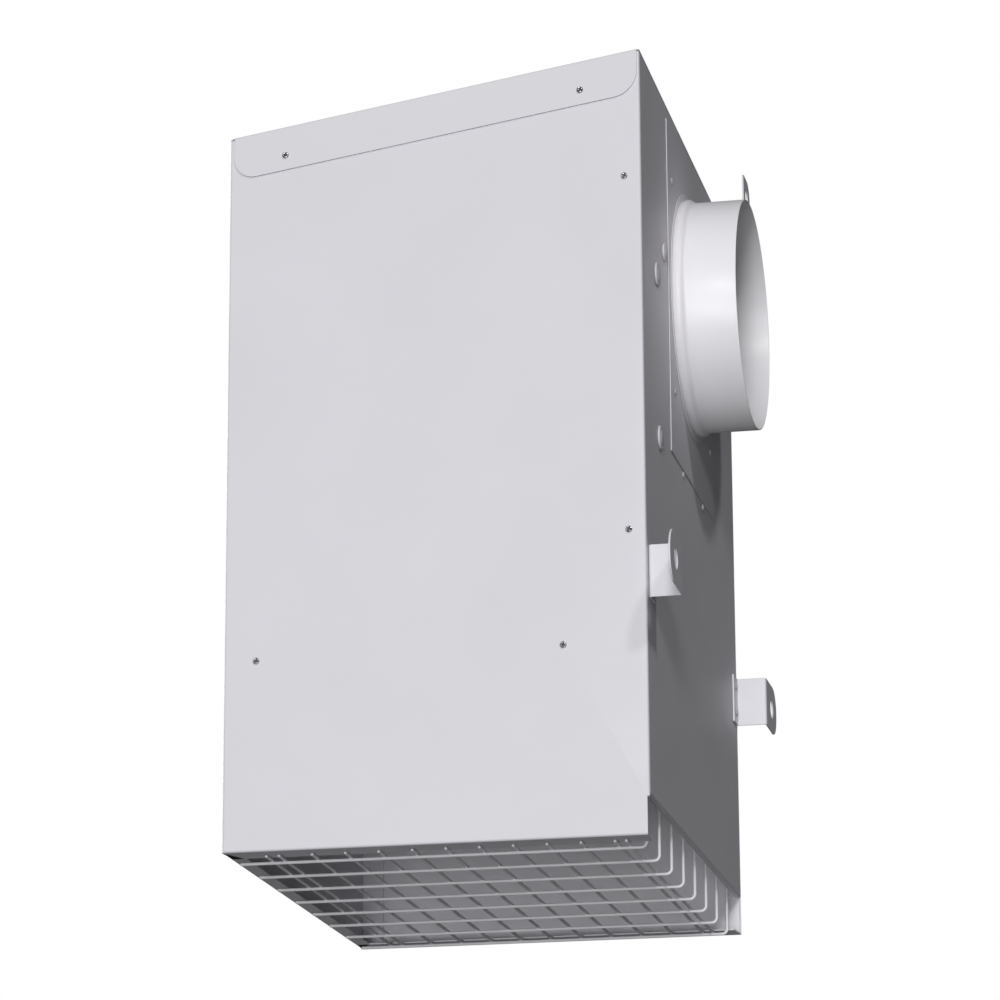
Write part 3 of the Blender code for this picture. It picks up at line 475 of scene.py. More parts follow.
def sides():
    """The front, back, outer and wall panels."""
    screw_holes = [circle((x, z), SCREW_HOLE, 16) for _, x, z in SCREWS]
    end_sheet("front_sheet", 0, 1, screw_holes, "front_panel")
    end_sheet("back_sheet", DEPTH, -1, [], "back_panel")
    side_sheet("outer_sheet", 0, 1, 0, [], 0.013, 0.0268, "outer_panel")
    wall_holes = [circle((DUCT_Y, DUCT_Z), DUCT_RADIUS + 2 * GAP, 96)]
    wall_holes += [circle((y, z), radius, 32) for y, z, radius in GROMMETS.values()]
    wall_holes += [circle(spot, RIVET_HOLE, 16) for spot in PLATE_RIVETS + RAIL_RIVETS]
    side_sheet("wall_sheet", WIDTH, -1, PANEL_BOTTOM, wall_holes, 0.0045, 0.0004, "wall_panel")


def roof():
    """The sloping roof, with round-cornered flanges turned down over the front and the back."""
    sheet = Folded()
    reach, left, right, drop, corner = SHEET + GAP, 0.004, WIDTH - 0.002, 0.038, 0.019
    middle = DEPTH / 2
    across = ((0, 0.003), (left, 0), (left + EAR, 0), (right - EAR, 0), (right, 0),
              (WIDTH, 0.002))
    points = sheet.ring([(x, middle + side * (middle + reach - cut), roof_at(x))
                         for side in (-1, 1) for x, cut in across])
    sheet.fill([*points[:6], *reversed(points[6:])])
    for start, y in ((0, -reach), (6, DEPTH + reach)):
        curve = []
        for centre, base in ((left + corner, math.pi), (right - corner, 1.5 * math.pi)):
            for step in range(13):
                turn = base + step * math.pi / 24
                x = centre + corner * math.cos(turn)
                curve.append((x, y, roof_at(x) - drop + corner * (1 + math.sin(turn))))
        ears = [sheet.ring([(x, y, roof_at(x) - EAR)]) for x in (left, right)]
        fold = points[start + 1:start + 5]
        ring = [*ears[0], *sheet.ring(curve), *ears[1], *reversed(fold)]
        holes = [circle((x, z), SCREW_HOLE, 16) for kind, x, z in SCREWS
                 if kind == "roof" and start == 0]
        sheet.fill(ring, *[sheet.ring(on_y(y, hole)) for hole in holes])
        sheet.crease(fold)
    sheet.finish("roof_sheet", (0, 0, 1), SIDE_FOLD, slot="casing_paint",
                 replaces=["roof_panel"])


def spigot_plate():
    """The plate under the spigot."""
    sheet = Folded()
    x = WIDTH + PLATE_FACE
    near, far, low, high = 0.1302, 0.3594, 0.3495, 0.6440
    ring = sheet.ring(on_x(x, [(near, low), (far, low), (far, high), (near, high)]))
    holes = [circle((DUCT_Y, DUCT_Z), BORE, 96)]
    holes += [circle(spot, RIVET_HOLE, 16) for spot in PLATE_RIVETS]
    sheet.fill(ring, *[sheet.ring(on_x(x, hole)) for hole in holes])
    sheet.finish("plate_sheet", (1, 0, 0), 0.0005, thickness=PLATE_SHEET, slot="casing_paint",
                 replaces=["spigot_plate"])


def bracket(node, along, across, root, width, tip_radii, hole, hole_radius, rivets):
    """A flange on the wall panel, a web and a tab. along points to the tab's tip and across over
    its width, root is the web's middle, and hole is how far the tab's hole is from it."""
    sheet = Folded()
    thick = BRACKET_SHEET
    low, high = WIDTH + GAP + thick / 2, WIDTH + STAND_OFF - thick / 2
    half = width / 2

    def at(u, v, x):
        spot = Vector(root) + Vector(along) * u + Vector(across) * v
        return (x, spot.y, spot.z)

    over = (-half, EAR - half, half - EAR, half)
    fold_low = sheet.ring([at(-thick / 2, v, low) for v in over])
    fold_high = sheet.ring([at(-thick / 2, v, high) for v in over])
    flange = [(-EAR - thick / 2, half), (-BRACKET_FLANGE, half), (-BRACKET_FLANGE, -half),
              (-EAR - thick / 2, -half)]
    end = sheet.ring([at(u, v, low) for u, v in flange])
    edges = [sheet.ring([at(-thick / 2, v, x) for x in span]) for v, span in
             ((half, (low + EAR, high - EAR)), (-half, (high - EAR, low + EAR)))]
    behind = -(BRACKET_FLANGE + thick) / 2
    spots = [sheet.ring([at(u, v, low) for u, v in circle((behind, side * rivets), RIVET_HOLE, 16)])
             for side in (-1, 1)]
    sheet.fill([*fold_low, *end], *spots)
    sheet.fill([*fold_low, *edges[0], *reversed(fold_high), *edges[1]])
    tip = [(EAR, half)]
    for side, radius, start in ((1, tip_radii[1], 90), (-1, tip_radii[0], 0)):
        tip += arc((BRACKET_TIP - radius, side * (half - radius)), radius, start, start - 90, 10)
    tip.append((EAR, -half))
    tab = [*fold_high, *sheet.ring([at(u, v, high) for u, v in tip])]
    bore = sheet.ring([at(u, v, high) for u, v in circle((hole, 0), hole_radius, 40)])
    sheet.fill(tab, bore)
    sheet.crease(fold_low)
    sheet.crease(fold_high)
    sheet.finish(node + "_sheet", (1, 0, 0), 0.0017, offset=0, thickness=thick,
                 slot="bracket_paint", replaces=[node])


def brackets():
    """The two brackets at the sides, which are alike, and the one above the roof."""
    side = {"across": (0, 0, 1), "width": 0.043, "tip_radii": (0.0205, 0.0205), "hole": 0.033,
            "hole_radius": 0.0088, "rivets": SIDE_RIVETS}
    bracket("bracket_front", (0, -1, 0), root=(0, BRACKET_INSET, FRONT_BRACKET_Z), **side)
    bracket("bracket_back", (0, 1, 0), root=(0, DEPTH - BRACKET_INSET, BACK_BRACKET_Z), **side)
    bracket("bracket_top", (0, 0, 1), (0, 1, 0), (0, TOP_BRACKET_Y, TOP_BRACKET_Z), 0.038,
            (0.004, 0.016), 0.045, 0.0078, TOP_RIVETS)


# Turned pieces.
AXES = {"x": Matrix.Rotation(math.pi / 2, 4, "Y"), "y": Matrix.Rotation(-math.pi / 2, 4, "X"),
        "-y": Matrix.Rotation(math.pi / 2, 4, "X"), "z": Matrix.Identity(4)}


def lathe(name, profile, axis, place, steps=96, closed=False):
    """Spins (radius, height) points about the axis. Points on the axis become poles."""
    bm = bmesh.new()
    rings = []
    for radius, height in profile:
        if radius < 1e-7:
            rings.append([bm.verts.new((0, 0, height))])
        else:
            rings.append([bm.verts.new((x, y, height)) for x, y in circle((0, 0), radius, steps)])
    pairs = list(zip(rings, rings[1:])) + ([(rings[-1], rings[0])] if closed else [])
    for lower, upper in pairs:
        for k in range(steps):
            after = (k + 1) % steps
            corners = [lower[k % len(lower)], lower[after % len(lower)],
                       upper[after % len(upper)], upper[k % len(upper)]]
            unique = list(dict.fromkeys(corners))
            if len(unique) > 2:
                bm.faces.new(unique)
    bmesh.ops.recalc_face_normals(bm, faces=bm.faces)
    bm.transform(Matrix.Translation(Vector(place)) @ AXES[axis])
    return mesh_of(name, bm, angle=35)


def shaft(start, end, edge=0.0006):
    """The profile of a round shaft with broken edges."""
    return [(0, start), (SHAFT - edge, start), (SHAFT, start + edge), (SHAFT, end - edge),
            (SHAFT - edge, end), (0, end)]


def spigot():
    """A tube with a bead and a thin lip at its base, on the plate."""
    start, end, lip_reach = PLATE_FACE + 0.0002, 0.0555, 0.0079
    rim = arc((DUCT_RADIUS - 0.0005, end - 0.0005), 0.0005, 180, 0, 6)
    fillet = arc((DUCT_RADIUS + 0.0040, start + 0.0119), 0.0040, 180, 226, 6)
    bead = arc((DUCT_RADIUS - 0.00295, start + 0.0047), 0.0060, 46, -42, 18)
    lip = arc((DUCT_RADIUS + lip_reach, start + 0.0003), 0.0003, 90, -90, 4)
    profile = [(BORE, start), *rim, *fillet, *bead[1:], (DUCT_RADIUS + 0.0025, start + 0.0006),
               *lip]
    mesh = lathe("spigot_tube", profile, "x", (WIDTH, DUCT_Y, DUCT_Z), 128, closed=True)
    piece("spigot_tube", mesh, "spigot_paint", replaces=["duct_spigot"])


def bore_along_y(obj, centre, radius, length):
    """Bores a round hole through a piece, and applies it."""
    bm = bmesh.new()
    bmesh.ops.create_cone(bm, cap_ends=True, segments=32, radius1=radius, radius2=radius,
                          depth=length)
    bm.transform(Matrix.Translation(Vector(centre) + CASING) @ AXES["-y"])
    cutter = bpy.data.objects.new("cutter", mesh_of("cutter", bm, smooth=False))
    bpy.context.scene.collection.objects.link(cutter)
    modifier(obj, "BOOLEAN", operation="DIFFERENCE", solver="EXACT", object=cutter)
    bpy.context.view_layer.update()
    shaped = obj.evaluated_get(bpy.context.evaluated_depsgraph_get())
    shaped = bpy.data.meshes.new_from_object(shaped)
    obj.modifiers.clear()
    obj.data = shaped
    bpy.data.objects.remove(cutter, do_unlink=True)


def collar():
    """The flanged duct behind the spigot plate, and the bushes for the damper's shaft."""
    face, flange, far = -0.0015, DUCT_RADIUS + 0.016, -0.0845
    behind, root = face - SHEET, 0.002
    profile = [(BORE, face), (flange, face), (flange, behind), (DUCT_RADIUS + root, behind),
               *arc((DUCT_RADIUS + root, behind - root), root, 90, 180, 5),
               (DUCT_RADIUS, far + 0.0005), (DUCT_RADIUS - 0.0005, far), (BORE, far)]
    mesh = lathe("collar_tube", profile, "x", (WIDTH, DUCT_Y, DUCT_Z), 96, closed=True)
    obj = piece("collar_tube", mesh, "zinc_sheet", replaces=["inner_collar"])
    bore_along_y(obj, (DAMPER_X, DUCT_Y, DUCT_Z), 0.007, 0.24)
    bore, outer, end = SHAFT + 0.00028, 0.0067, 0.0045
    profile = [(bore, -0.001), (outer, -0.001), (outer, 0.0034), (0.0059, end), (bore, end)]
    for node, axis, side in (("shaft_bush_front", "-y", -1), ("shaft_bush_back", "y", 1)):
        place = (DAMPER_X, DUCT_Y + side * DUCT_RADIUS, DUCT_Z)
        mesh = lathe(node + "_turned", profile, axis, place, 40, closed=True)
        piece(node + "_turned", mesh, slot_of[node], replaces=[node])


def grommets():
    """Blind rubber grommets: a rounded rim, a shallow groove and a low dome to be cut for the
    cable."""
    for name, (y, z, hole) in GROMMETS.items():
        cap, neck, edge = hole + 0.0015, hole - GAP, 0.0012
        profile = [(0, 0.0030), (0.25 * cap, 0.0029), (0.5 * cap, 0.0026), (0.62 * cap, 0.0022),
                   (0.66 * cap, 0.0019), (0.72 * cap, 0.0018), (0.78 * cap, 0.0020),
                   *arc((cap - edge, 0.0010), edge, 80, 0, 8), (cap, 0.0005),
                   (cap - 0.0002, GAP), (neck, GAP), (neck, -SHEET - edge),
                   (neck - 0.0006, -SHEET - 0.0015), (0, -SHEET - 0.0015)]
        mesh = lathe(name, profile, "x", (WIDTH, y, z), 48)
        piece(name + "_turned", mesh, "pale_rubber", replaces=[name])


def screw(node, place):
    """A low button head with a round recess painted dark for its shade, and its shank."""
    head, recess = SCREW_HEAD, SCREW_HEAD * 0.56
    dome = [(recess + (head - recess) * math.sin(t), GAP + 0.0003 + 0.0010 * math.cos(t))
            for t in (0.25, 0.6, 0.95, 1.25, math.pi / 2)]
    profile = [(0, GAP + 0.0004), (recess, GAP + 0.0004), (recess, GAP + 0.00115), *dome,
               (head, GAP), (SHANK, GAP), (SHANK, GAP - 0.0075), (0.0008, GAP - 0.008),
               (0, GAP - 0.008)]
    mesh = lathe(node, profile, "-y", place, 36)
    obj = piece(node + "_turned", mesh, "bright_steel", replaces=[node], extra=(RECESS_SHADE,))
    # The faces of the recess take the dark painted-shade material.
    for face in obj.data.polygons:
        local = Vector(face.center) - CASING - Vector(place)
        if math.hypot(local.x, local.z) < recess * 1.001 and local.y < 0:
            face.material_index = 1


def rivet(node, head, length, place):
    """A dome head with the broken mandrel in its middle."""
    dome = [(head * (0.28 + 0.72 * math.sin(t)), GAP + 0.0002 + 0.0011 * math.cos(t))
            for t in (0.3, 0.65, 1.0, 1.3, math.pi / 2)]
    profile = [(0, GAP + 0.0009), (head * 0.26, GAP + 0.0009), (head * 0.28, GAP + 0.0013), *dome,
               (head, GAP), (SHANK, GAP), (SHANK, GAP - length), (0, GAP - length)]
    mesh = lathe(node, profile, "x", place, 32)
    obj = piece(node + "_turned", mesh, "bright_steel", replaces=[node])
    obj.data.materials[0] = RIVET_ALLOY


def bracket_rivets():
    """The y and z of the two rivets in each bracket's flange."""
    behind = (BRACKET_FLANGE + BRACKET_SHEET) / 2
    front_y, back_y = BRACKET_INSET + behind, DEPTH - BRACKET_INSET - behind
    spots = [(y, z + up) for y, z in ((front_y, FRONT_BRACKET_Z), (back_y, BACK_BRACKET_Z))
             for up in (-SIDE_RIVETS, SIDE_RIVETS)]
    return spots + [(TOP_BRACKET_Y + y, TOP_BRACKET_Z - behind) for y in (-TOP_RIVETS, TOP_RIVETS)]


def fasteners():
    """Every screw and rivet, numbered within its kind."""
    counts = {}
    for kind, x, z in SCREWS:
        counts[kind] = counts.get(kind, 0) + 1
        surface = -SHEET - GAP if kind == "roof" else 0
        screw(f"{kind}_screw_{counts[kind]}", (x, surface, z))
    for name, spots, surface, head, length in (
            ("plate_rivet", PLATE_RIVETS, PLATE_FACE, PLATE_RIVET, 0.006),
            ("rail_rivet", RAIL_RIVETS, 0, RAIL_RIVET, 0.004),
            ("bracket_rivet", bracket_rivets(), GAP + BRACKET_SHEET, BRACKET_RIVET, 0.006)):
        for index, (y, z) in enumerate(spots, 1):
            rivet(f"{name}_{index}", head, length, (WIDTH + surface, y, z))


# Guard.
def wires(name, paths, radius):
    """Round wires along paths of x, y, z and, where a wire tapers, its part of the radius."""
    curve = bpy.data.curves.new(name, "CURVE")
    curve.dimensions = "3D"
    curve.bevel_depth = radius
    curve.bevel_resolution = 4
    curve.use_fill_caps = True
    for path in paths:
        spline = curve.splines.new("POLY")
        spline.points.add(len(path) - 1)
        for point, (x, y, z, *taper) in zip(spline.points, path):
            point.co = (x, y, z, 1)
            point.radius = taper[0] if taper else 1.0
        spline.use_smooth = True
    return curve


def guard():
    """Long wires front to back, and cross wires under them that turn up to the wall panel."""
    radius = 0.0015
    shown = 0.9 * radius
    long_z = -GAP - radius
    cross_z = long_z - 2 * radius + 0.0007
    long_pitch, cross_pitch = 0.02724, 0.0598
    long_x = [0.0444 + long_pitch * index for index in range(11)] + [0.0340, 0.3258]
    cross_y = [0.0300 + cross_pitch * index for index in range(8)]
    near, far = 0.010, 0.4525
    tips = [(0, 0.3), (0.0003, 0.6), (0.0008, 0.85), (0.0016, 1.0)]
    long_paths = [[*((x, near + step, long_z, size) for step, size in tips),
                   *((x, far - step, long_z, size) for step, size in reversed(tips))]
                  for x in long_x]
    leg_x, bend, leg_top = WIDTH - 0.0080, 0.0045, PANEL_BOTTOM + 0.004
    corner = arc((leg_x - bend, cross_z + bend), bend, -90, 0, 12)
    cross_paths = [[(0.0078, y, cross_z), *on_y(y, corner), (leg_x, y, leg_top)] for y in cross_y]
    piece("cross_wires", wires("cross_wires", cross_paths, shown), "guard_wire",
          replaces=["wire_guard"])
    piece("long_wires", wires("long_wires", long_paths, shown), "guard_wire")
    bm = bmesh.new()
    for x in long_x:
        for y in cross_y:
            place = Matrix.Translation((x, y, (long_z + cross_z) / 2))
            bmesh.ops.create_icosphere(bm, subdivisions=2, radius=0.0011,
                                       matrix=place @ Matrix.Diagonal((1.35, 1.35, 0.75, 1)))
    piece("guard_welds", mesh_of("guard_welds", bm), "guard_wire")


# Fan.
def airfoil(t):
    """How thick a wing section is, from its front at t = 0 to its back at t = 1."""
    return 1.48 * math.sqrt(t) - 0.63 * t - 1.76 * t ** 2 + 1.42 * t ** 3 - 0.51 * t ** 4


def fan_blade(bm, turn):
    """One swept blade: a cambered skin with rounded edges, thickest near its front."""
    spans, chords = 14, 16
    root, tip, height = 0.0425, 0.1180, 0.1920
    rows = []
    for i in range(spans + 1):
        part = i / spans
        radius = root + (tip - root) * part
        chord = 0.044 + 0.014 * part
        pitch = math.radians(33 - 9 * part)
        sweep = 0.30 * part ** 1.5
        thickest = 0.0051 * (1 - 0.35 * part)
        loop = []
        for j in range(2 * chords):
            side = 1 if j <= chords else -1
            t = j / chords if side > 0 else (2 * chords - j) / chords
            t = (1 - math.cos(math.pi * t)) / 2
            camber = 0.0042 * 4 * t * (1 - t)
            u, w = (t - 0.5) * chord, camber - 0.0026 + side * thickest * airfoil(t) / 2
            along = u * math.cos(pitch) - w * math.sin(pitch)
            up = u * math.sin(pitch) + w * math.cos(pitch)
            angle = turn + sweep + along / radius
            spot = (radius * math.cos(angle), radius * math.sin(angle), height + up)
            loop.append(bm.verts.new(spot))
        rows.append(loop)
    count = 2 * chords
    for lower, upper in zip(rows, rows[1:]):
        for j in range(count):
            after = (j + 1) % count
            bm.faces.new((lower[j], lower[after], upper[after], upper[j]))
    bm.faces.new(rows[0])
    bm.faces.new(list(reversed(rows[-1])))


def fan_rotor():
    """The blades, and a hub with ribs between its two grooves."""
    middle = (FAN_X, FAN_Y, 0)
    bm = bmesh.new()
    for index in range(BLADES):
        fan_blade(bm, TURN * index / BLADES)
    bmesh.ops.recalc_face_normals(bm, faces=bm.faces)
    bm.transform(Matrix.Translation(middle))
    piece("fan_blades", mesh_of("fan_blades", bm, angle=50), "fan_plastic", body="fan_rotor",
          replaces=["fan_impeller"])
    hub, top, bottom = 0.044, 0.208, 0.176
    profile = [(FAN_BORE, top), (hub - 0.004, top), *arc((hub - 0.003, 0.205), 0.003, 90, 0, 5),
               *arc((hub - 0.005, 0.181), 0.005, 0, -90, 8), (0.034, bottom), (0.033, 0.1772),
               (0.030, 0.1772), (0.029, bottom), (0.014, bottom), (0.013, 0.1775),
               (0.0095, 0.1775), (0.0085, 0.1762), (FAN_BORE + 0.0006, 0.1762),
               (FAN_BORE, 0.1768)]
    mesh = lathe("fan_hub", profile, "z", middle, 96, closed=True)
    piece("fan_hub", mesh, "fan_plastic", body="fan_rotor")
    bm = bmesh.new()
    for index in range(BLADES):
        place = Matrix.Rotation(TURN * (index + 0.5) / BLADES, 4, "Z")
        place = place @ Matrix.Translation((0.0215, 0, 0.17655))
        bmesh.ops.create_cube(bm, size=1,
                              matrix=place @ Matrix.Diagonal((0.013, 0.0016, 0.0011, 1)))
    bm.transform(Matrix.Translation(middle))
    soften(piece("hub_ribs", mesh_of("hub_ribs", bm), "fan_plastic", body="fan_rotor"), 0.0003)


def inlet_ring():
    """The ring round the impeller: a flange on the deck and a rolled mouth."""
    low = DECK_Z + SHEET + GAP
    inner, outer, roll = FAN_RADIUS, FAN_RADIUS + 0.002, 0.006
    flange = outer + 0.0135
    profile = [(inner, low), (flange, low), (flange + 0.0005, low + 0.0005),
               (flange + 0.0005, low + 0.0015), (flange, low + 0.002),
               (outer + 0.0015, low + 0.002), (outer, low + 0.0035),
               *arc((outer + roll, low + 0.045), roll, 180, 90, 10),
               *arc((inner + roll, low + 0.047), roll, 90, 180, 10)]
    mesh = lathe("inlet_ring", profile, "z", (FAN_X, FAN_Y, 0), 128, closed=True)
    piece("inlet_ring", mesh, "zinc_sheet", replaces=["fan_ring"])


def motor():
    """The motor's grooved case, and the shaft that carries the impeller."""
    low, high, radius = 0.2095, 0.2400, 0.040
    profile = [(0, high), (0.010, high), (0.0105, high - 0.0008), (0.024, high - 0.0008),
               (0.0245, high), (radius - 0.002, high), (radius, high - 0.002)]
    for index in range(4):
        z = high - 0.0055 * (index + 1)
        profile += [(radius, z + 0.0013), (radius - 0.0013, z + 0.0009),
                    (radius - 0.0013, z - 0.0009), (radius, z - 0.0013)]
    profile += [(radius, low + 0.002), (radius - 0.002, low), (FAN_BORE, low),
                (FAN_BORE, 0.231), (0, 0.231)]
    mesh = lathe("motor_case", profile, "z", (FAN_X, FAN_Y, 0), 96)
    piece("motor_case", mesh, slot_of["fan_motor"], replaces=["fan_motor"])
    mesh = lathe("rotor_shaft", shaft(0.1780, 0.2300), "z", (FAN_X, FAN_Y, 0), 40)
    piece("rotor_shaft", mesh, "bright_steel", body="fan_rotor", replaces=["fan_shaft"])


# Damper.
def damper_disc(face):
    """A disc with a pressed ring, and its rubber edge."""
    rim = 0.0955
    profile = [(0, -0.0002), (0.020, -0.0002), (0.024, -0.0002), (0.066, -0.0002),
               (0.069, -0.0009), (0.073, -0.0012), (0.077, -0.0009), (0.080, -0.0002),
               (rim, -0.0002), (rim, -0.0016), (0.080, -0.0016), (0.077, -0.0020),
               (0.069, -0.0020), (0.066, -0.0016), (0, -0.0016)]
    mesh = lathe("damper_disc", profile, "x", (face, DUCT_Y, DUCT_Z), 128)
    piece("damper_disc", mesh, "zinc_sheet", body="damper", replaces=["damper_blade"])
    inner, crown = 0.0925, 0.0972
    profile = [(inner, 0.0001), (rim, 0.0002), (crown, -0.0002), (0.0983, -0.0010),
               (crown, -0.0017), (rim, -0.0020), (inner, -0.0019)]
    mesh = lathe("damper_edge", profile, "x", (face, DUCT_Y, DUCT_Z), 128, closed=True)
    edge = piece("damper_edge", mesh, "black_plastic", body="damper")
    edge.data.materials[0] = BLACK_RUBBER


def damper():
    """The disc, two saddles that hold it to its shaft, and the shaft."""
    saddle = 0.0043
    face = DAMPER_X - saddle
    damper_disc(face)
    over = [(DAMPER_X + x, DUCT_Z + z) for x, z in arc((0, 0), saddle, -90, 90, 12)]
    x = face + 0.0003
    path = [(x, DUCT_Z - 0.013), (x, DUCT_Z - 0.0052), *over, (x, DUCT_Z + 0.0052),
            (x, DUCT_Z + 0.013)]
    bm = bmesh.new()
    for middle in (DUCT_Y - 0.052, DUCT_Y + 0.052):
        left, right = ([bm.verts.new((x, y, z)) for x, z in path]
                       for y in (middle - 0.006, middle + 0.006))
        for k in range(len(path) - 1):
            bm.faces.new((left[k], right[k], right[k + 1], left[k + 1]))
    bmesh.ops.recalc_face_normals(bm, faces=bm.faces)
    saddles = piece("shaft_saddles", mesh_of("shaft_saddles", bm), "bright_steel", body="damper")
    modifier(saddles, "SOLIDIFY", thickness=0.0009, offset=0, use_even_offset=True)
    profile = shaft(DUCT_Y - DUCT_RADIUS - 0.010, DUCT_Y + DUCT_RADIUS + 0.066)
    mesh = lathe("damper_spindle", profile, "y", (DAMPER_X, 0, DUCT_Z), 40)
    piece("damper_spindle", mesh, "bright_steel", body="damper", replaces=["damper_shaft"])


# Pieces inside, seen when the unit is opened.
def box_into(bm, low, high):
    low, high = Vector(low), Vector(high)
    place = Matrix.Translation((low + high) / 2)
    bmesh.ops.create_cube(bm, size=1, matrix=place @ Matrix.Diagonal((*(high - low), 1)))


def cylinder_into(bm, place, radius, length, segments):
    """A cylinder along Y."""
    bmesh.ops.create_cone(bm, cap_ends=True, segments=segments, radius1=radius, radius2=radius,
                          depth=length, matrix=Matrix.Translation(place) @ AXES["-y"])


def corners_of(node):
    """The low and high corners of a CAD node's box, in the casing frame."""
    return [Vector(corner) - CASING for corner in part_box(node)]


def pleated_filter():
    """Zigzag pleats between the sides of the filter's frame."""
    low, high = corners_of("filter_medium")
    steps, inset = 68, 0.0006
    bm = bmesh.new()
    lines = []
    for k in range(steps + 1):
        x = low.x + inset + (high.x - low.x - 2 * inset) * k / steps
        z = high.z - inset if k % 2 else low.z + inset
        lines.append([bm.verts.new((x, y, z)) for y in (low.y, high.y)])
    for a, b in zip(lines, lines[1:]):
        bm.faces.new((a[0], a[1], b[1], b[0]))
    obj = piece("filter_pleats", mesh_of("filter_pleats", bm, smooth=False), "filter_fleece",
                replaces=["filter_medium"])
    modifier(obj, "BEVEL", width=0.0008, segments=3, limit_method="ANGLE",
             angle_limit=math.radians(30))
    modifier(obj, "SOLIDIFY", thickness=0.0006, offset=0)


def board_parts():
    """Generic parts on the circuit board: relays, chips and capacitors."""
    low = corners_of("circuit_board")[0]
    face = low.y - 0.0001
    chips, relays, cans = bmesh.new(), bmesh.new(), bmesh.new()
    for column in range(3):
        x = low.x + 0.008 + column * 0.020
        box_into(relays, (x, face - 0.012, low.z + 0.080), (x + 0.015, face, low.z + 0.102))
        box_into(chips, (x + 0.001, face - 0.0022, low.z + 0.112),
                 (x + 0.011, face, low.z + 0.124))
        for row in range(4):
            start = x + row * 0.0042
            box_into(chips, (start, face - 0.0012, low.z + 0.068),
                     (start + 0.0026, face, low.z + 0.0725))
    for x, z, radius in ((0.014, 0.140, 0.0055), (0.032, 0.143, 0.0075), (0.052, 0.139, 0.0050)):
        cylinder_into(cans, (low.x + x, face - 0.008, low.z + z), radius, 0.016, 32)
    soften(piece("board_chips", mesh_of("board_chips", chips), "black_plastic"), 0.0003)
    shown = soften(piece("board_relays", mesh_of("board_relays", relays), "control_case"), 0.0005)
    shown.data.materials[0] = RELAY_WHITE
    soften(piece("board_cans", mesh_of("board_cans", cans), "core_aluminium"), 0.0004)


def terminals():
    """The terminal block: a stepped strip with walls between eight screws."""
    low, high = corners_of("terminal_block")
    count, wall = 8, 0.0004
    step = (high.x - low.x) / count
    block, heads = bmesh.new(), bmesh.new()
    box_into(block, (low.x, low.y + 0.004, low.z), high)
    box_into(block, (low.x, low.y + 0.0005, low.z + 0.006),
             (high.x, low.y + 0.0042, high.z - 0.006))
    for k in range(count + 1):
        x = min(max(low.x + k * step, low.x + wall), high.x - wall)
        box_into(block, (x - wall, low.y, low.z + 0.001), (x + wall, low.y + 0.005, high.z - 0.001))
    for k in range(count):
        place = (low.x + (k + 0.5) * step, low.y + 0.0003, (low.z + high.z) / 2)
        cylinder_into(heads, place, 0.0018, 0.0006, 20)
    soften(piece("terminal_strip", mesh_of("terminal_strip", block), "black_plastic",
                 replaces=["terminal_block"]), 0.0002)
    piece("terminal_heads", mesh_of("terminal_heads", heads), "bright_steel")


def soften_nodes():
    """Breaks the edges of the CAD nodes that stay as they are."""
    for name, width in (("control_box_lid", 0.0006), ("damper_actuator", 0.0006),
                        ("liner_outer", 0.0006), ("liner_back", 0.0006), ("liner_roof", 0.0006),
                        ("partition", 0.0002)):
        node = frame["nodes"][name]
        modifier(node, "WELD", merge_threshold=1e-5)
        soften(node, width)


# Floor, light and camera.
def floor():
    """A pale floor that is clear from below, and neither lights nor shades the unit."""
    bm = bmesh.new()
    bmesh.ops.create_grid(bm, x_segments=1, y_segments=1, size=9)
    obj = bpy.data.objects.new("floor", mesh_of("floor", bm))
    obj.location = (0, 0, FLOOR_Z)
    bpy.context.scene.collection.objects.link(obj)
    look = Look("floor", (0.86, 0.86, 0.86), 0.7)
    look.vary_colour(look.noise(0.8), (0.84, 0.84, 0.84))
    look.set("Emission Color", (1, 1, 1, 1))
    look.set("Emission Strength", 0.3)
    behind = look.node("ShaderNodeNewGeometry").outputs["Backfacing"]
    clear = look.node("ShaderNodeBsdfTransparent").outputs[0]
    either = look.node("ShaderNodeMixShader", {0: behind, 1: look.shader.outputs[0], 2: clear})
    surface = look.tree.nodes["Material Output"].inputs["Surface"]
    look.tree.links.new(either.outputs[0], surface)
    obj.data.materials.append(look.made)
    obj.visible_diffuse = False
    obj.visible_glossy = False
    obj.visible_shadow = False


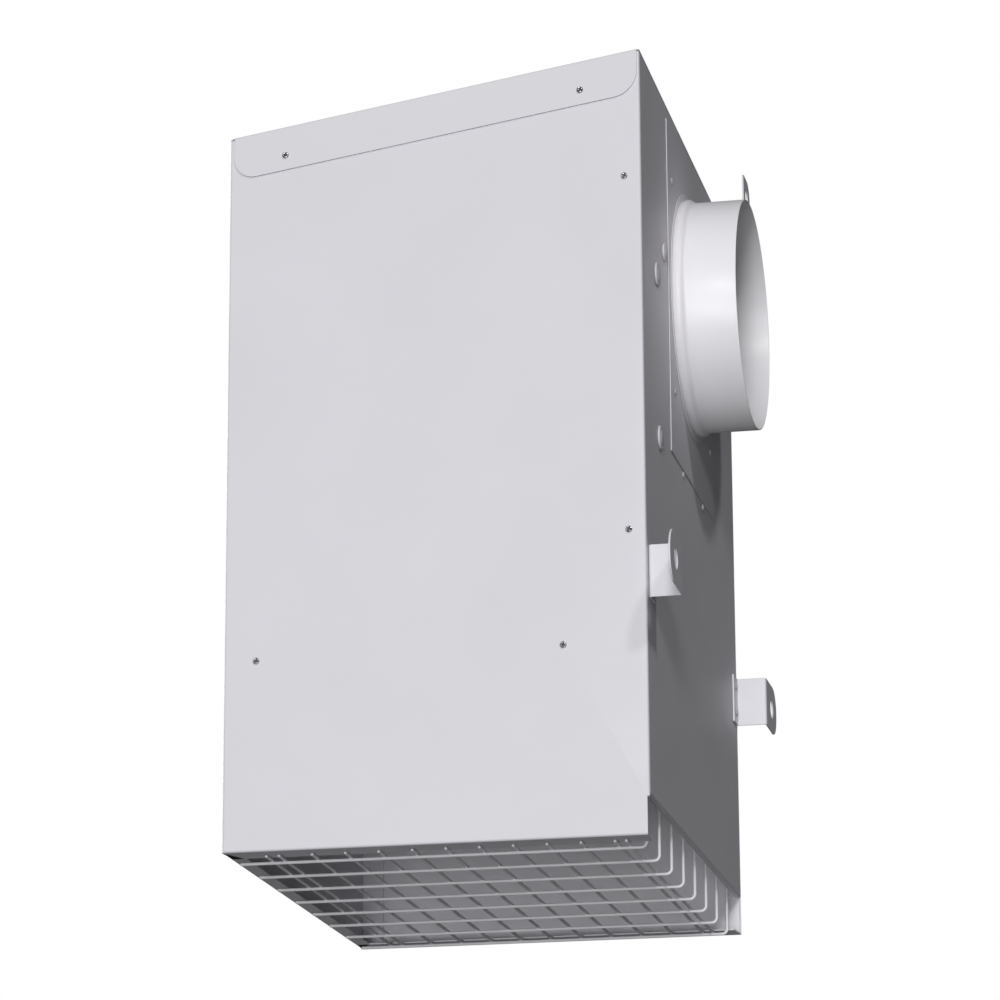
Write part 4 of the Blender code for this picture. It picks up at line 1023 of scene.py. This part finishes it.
def studio():
    """White to the camera, and a dim even light to everything else."""
    world = bpy.data.worlds.new("studio")
    bpy.context.scene.world = world
    world.use_nodes = True
    nodes, links = world.node_tree.nodes, world.node_tree.links
    seen = nodes["Background"]
    seen.inputs["Color"].default_value = (1, 1, 1, 1)
    seen.inputs["Strength"].default_value = 1.0
    fill = nodes.new("ShaderNodeBackground")
    fill.inputs["Color"].default_value = (0.97, 0.98, 1, 1)
    fill.inputs["Strength"].default_value = AMBIENT
    mix = nodes.new("ShaderNodeMixShader")
    path = nodes.new("ShaderNodeLightPath")
    links.new(path.outputs["Is Camera Ray"], mix.inputs[0])
    links.new(fill.outputs[0], mix.inputs[1])
    links.new(seen.outputs[0], mix.inputs[2])
    links.new(mix.outputs[0], nodes["World Output"].inputs[0])
    bpy.context.scene.view_settings.view_transform = "Standard"


def lamps():
    """Distant lamps."""
    for name, (towards, strength, softness) in LAMPS.items():
        lamp = bpy.data.lights.new(name, "SUN")
        lamp.energy = strength
        lamp.angle = math.radians(softness)
        obj = bpy.data.objects.new(name, lamp)
        bpy.context.scene.collection.objects.link(obj)
        obj.rotation_euler = Vector(towards).to_track_quat("Z", "Y").to_euler()
        obj.location = Vector(towards) * 2


def camera():
    """A long lens, below the unit's front and to its wall side."""
    obj = bpy.data.objects.new("camera", bpy.data.cameras.new("camera"))
    obj.data.lens = 151.8
    obj.data.sensor_width = 36
    obj.data.clip_end = 50
    right = (0.97934, 0.20226, -0.00508)
    up = (0.05877, -0.26042, 0.96373)
    forward = (-0.19360, 0.94408, 0.26691)
    rows = [[right[k], up[k], -forward[k]] for k in range(3)]
    place = Matrix.Translation((0.5103, -3.4487, -1.1276))
    obj.matrix_world = place @ Matrix(rows).to_4x4()
    bpy.context.scene.collection.objects.link(obj)
    bpy.context.scene.camera = obj


sides()
roof()
spigot_plate()
brackets()
spigot()
collar()
grommets()
fasteners()
guard()
fan_rotor()
inlet_ring()
motor()
damper()
pleated_filter()
board_parts()
terminals()
soften_nodes()
floor()
studio()
lamps()
camera()
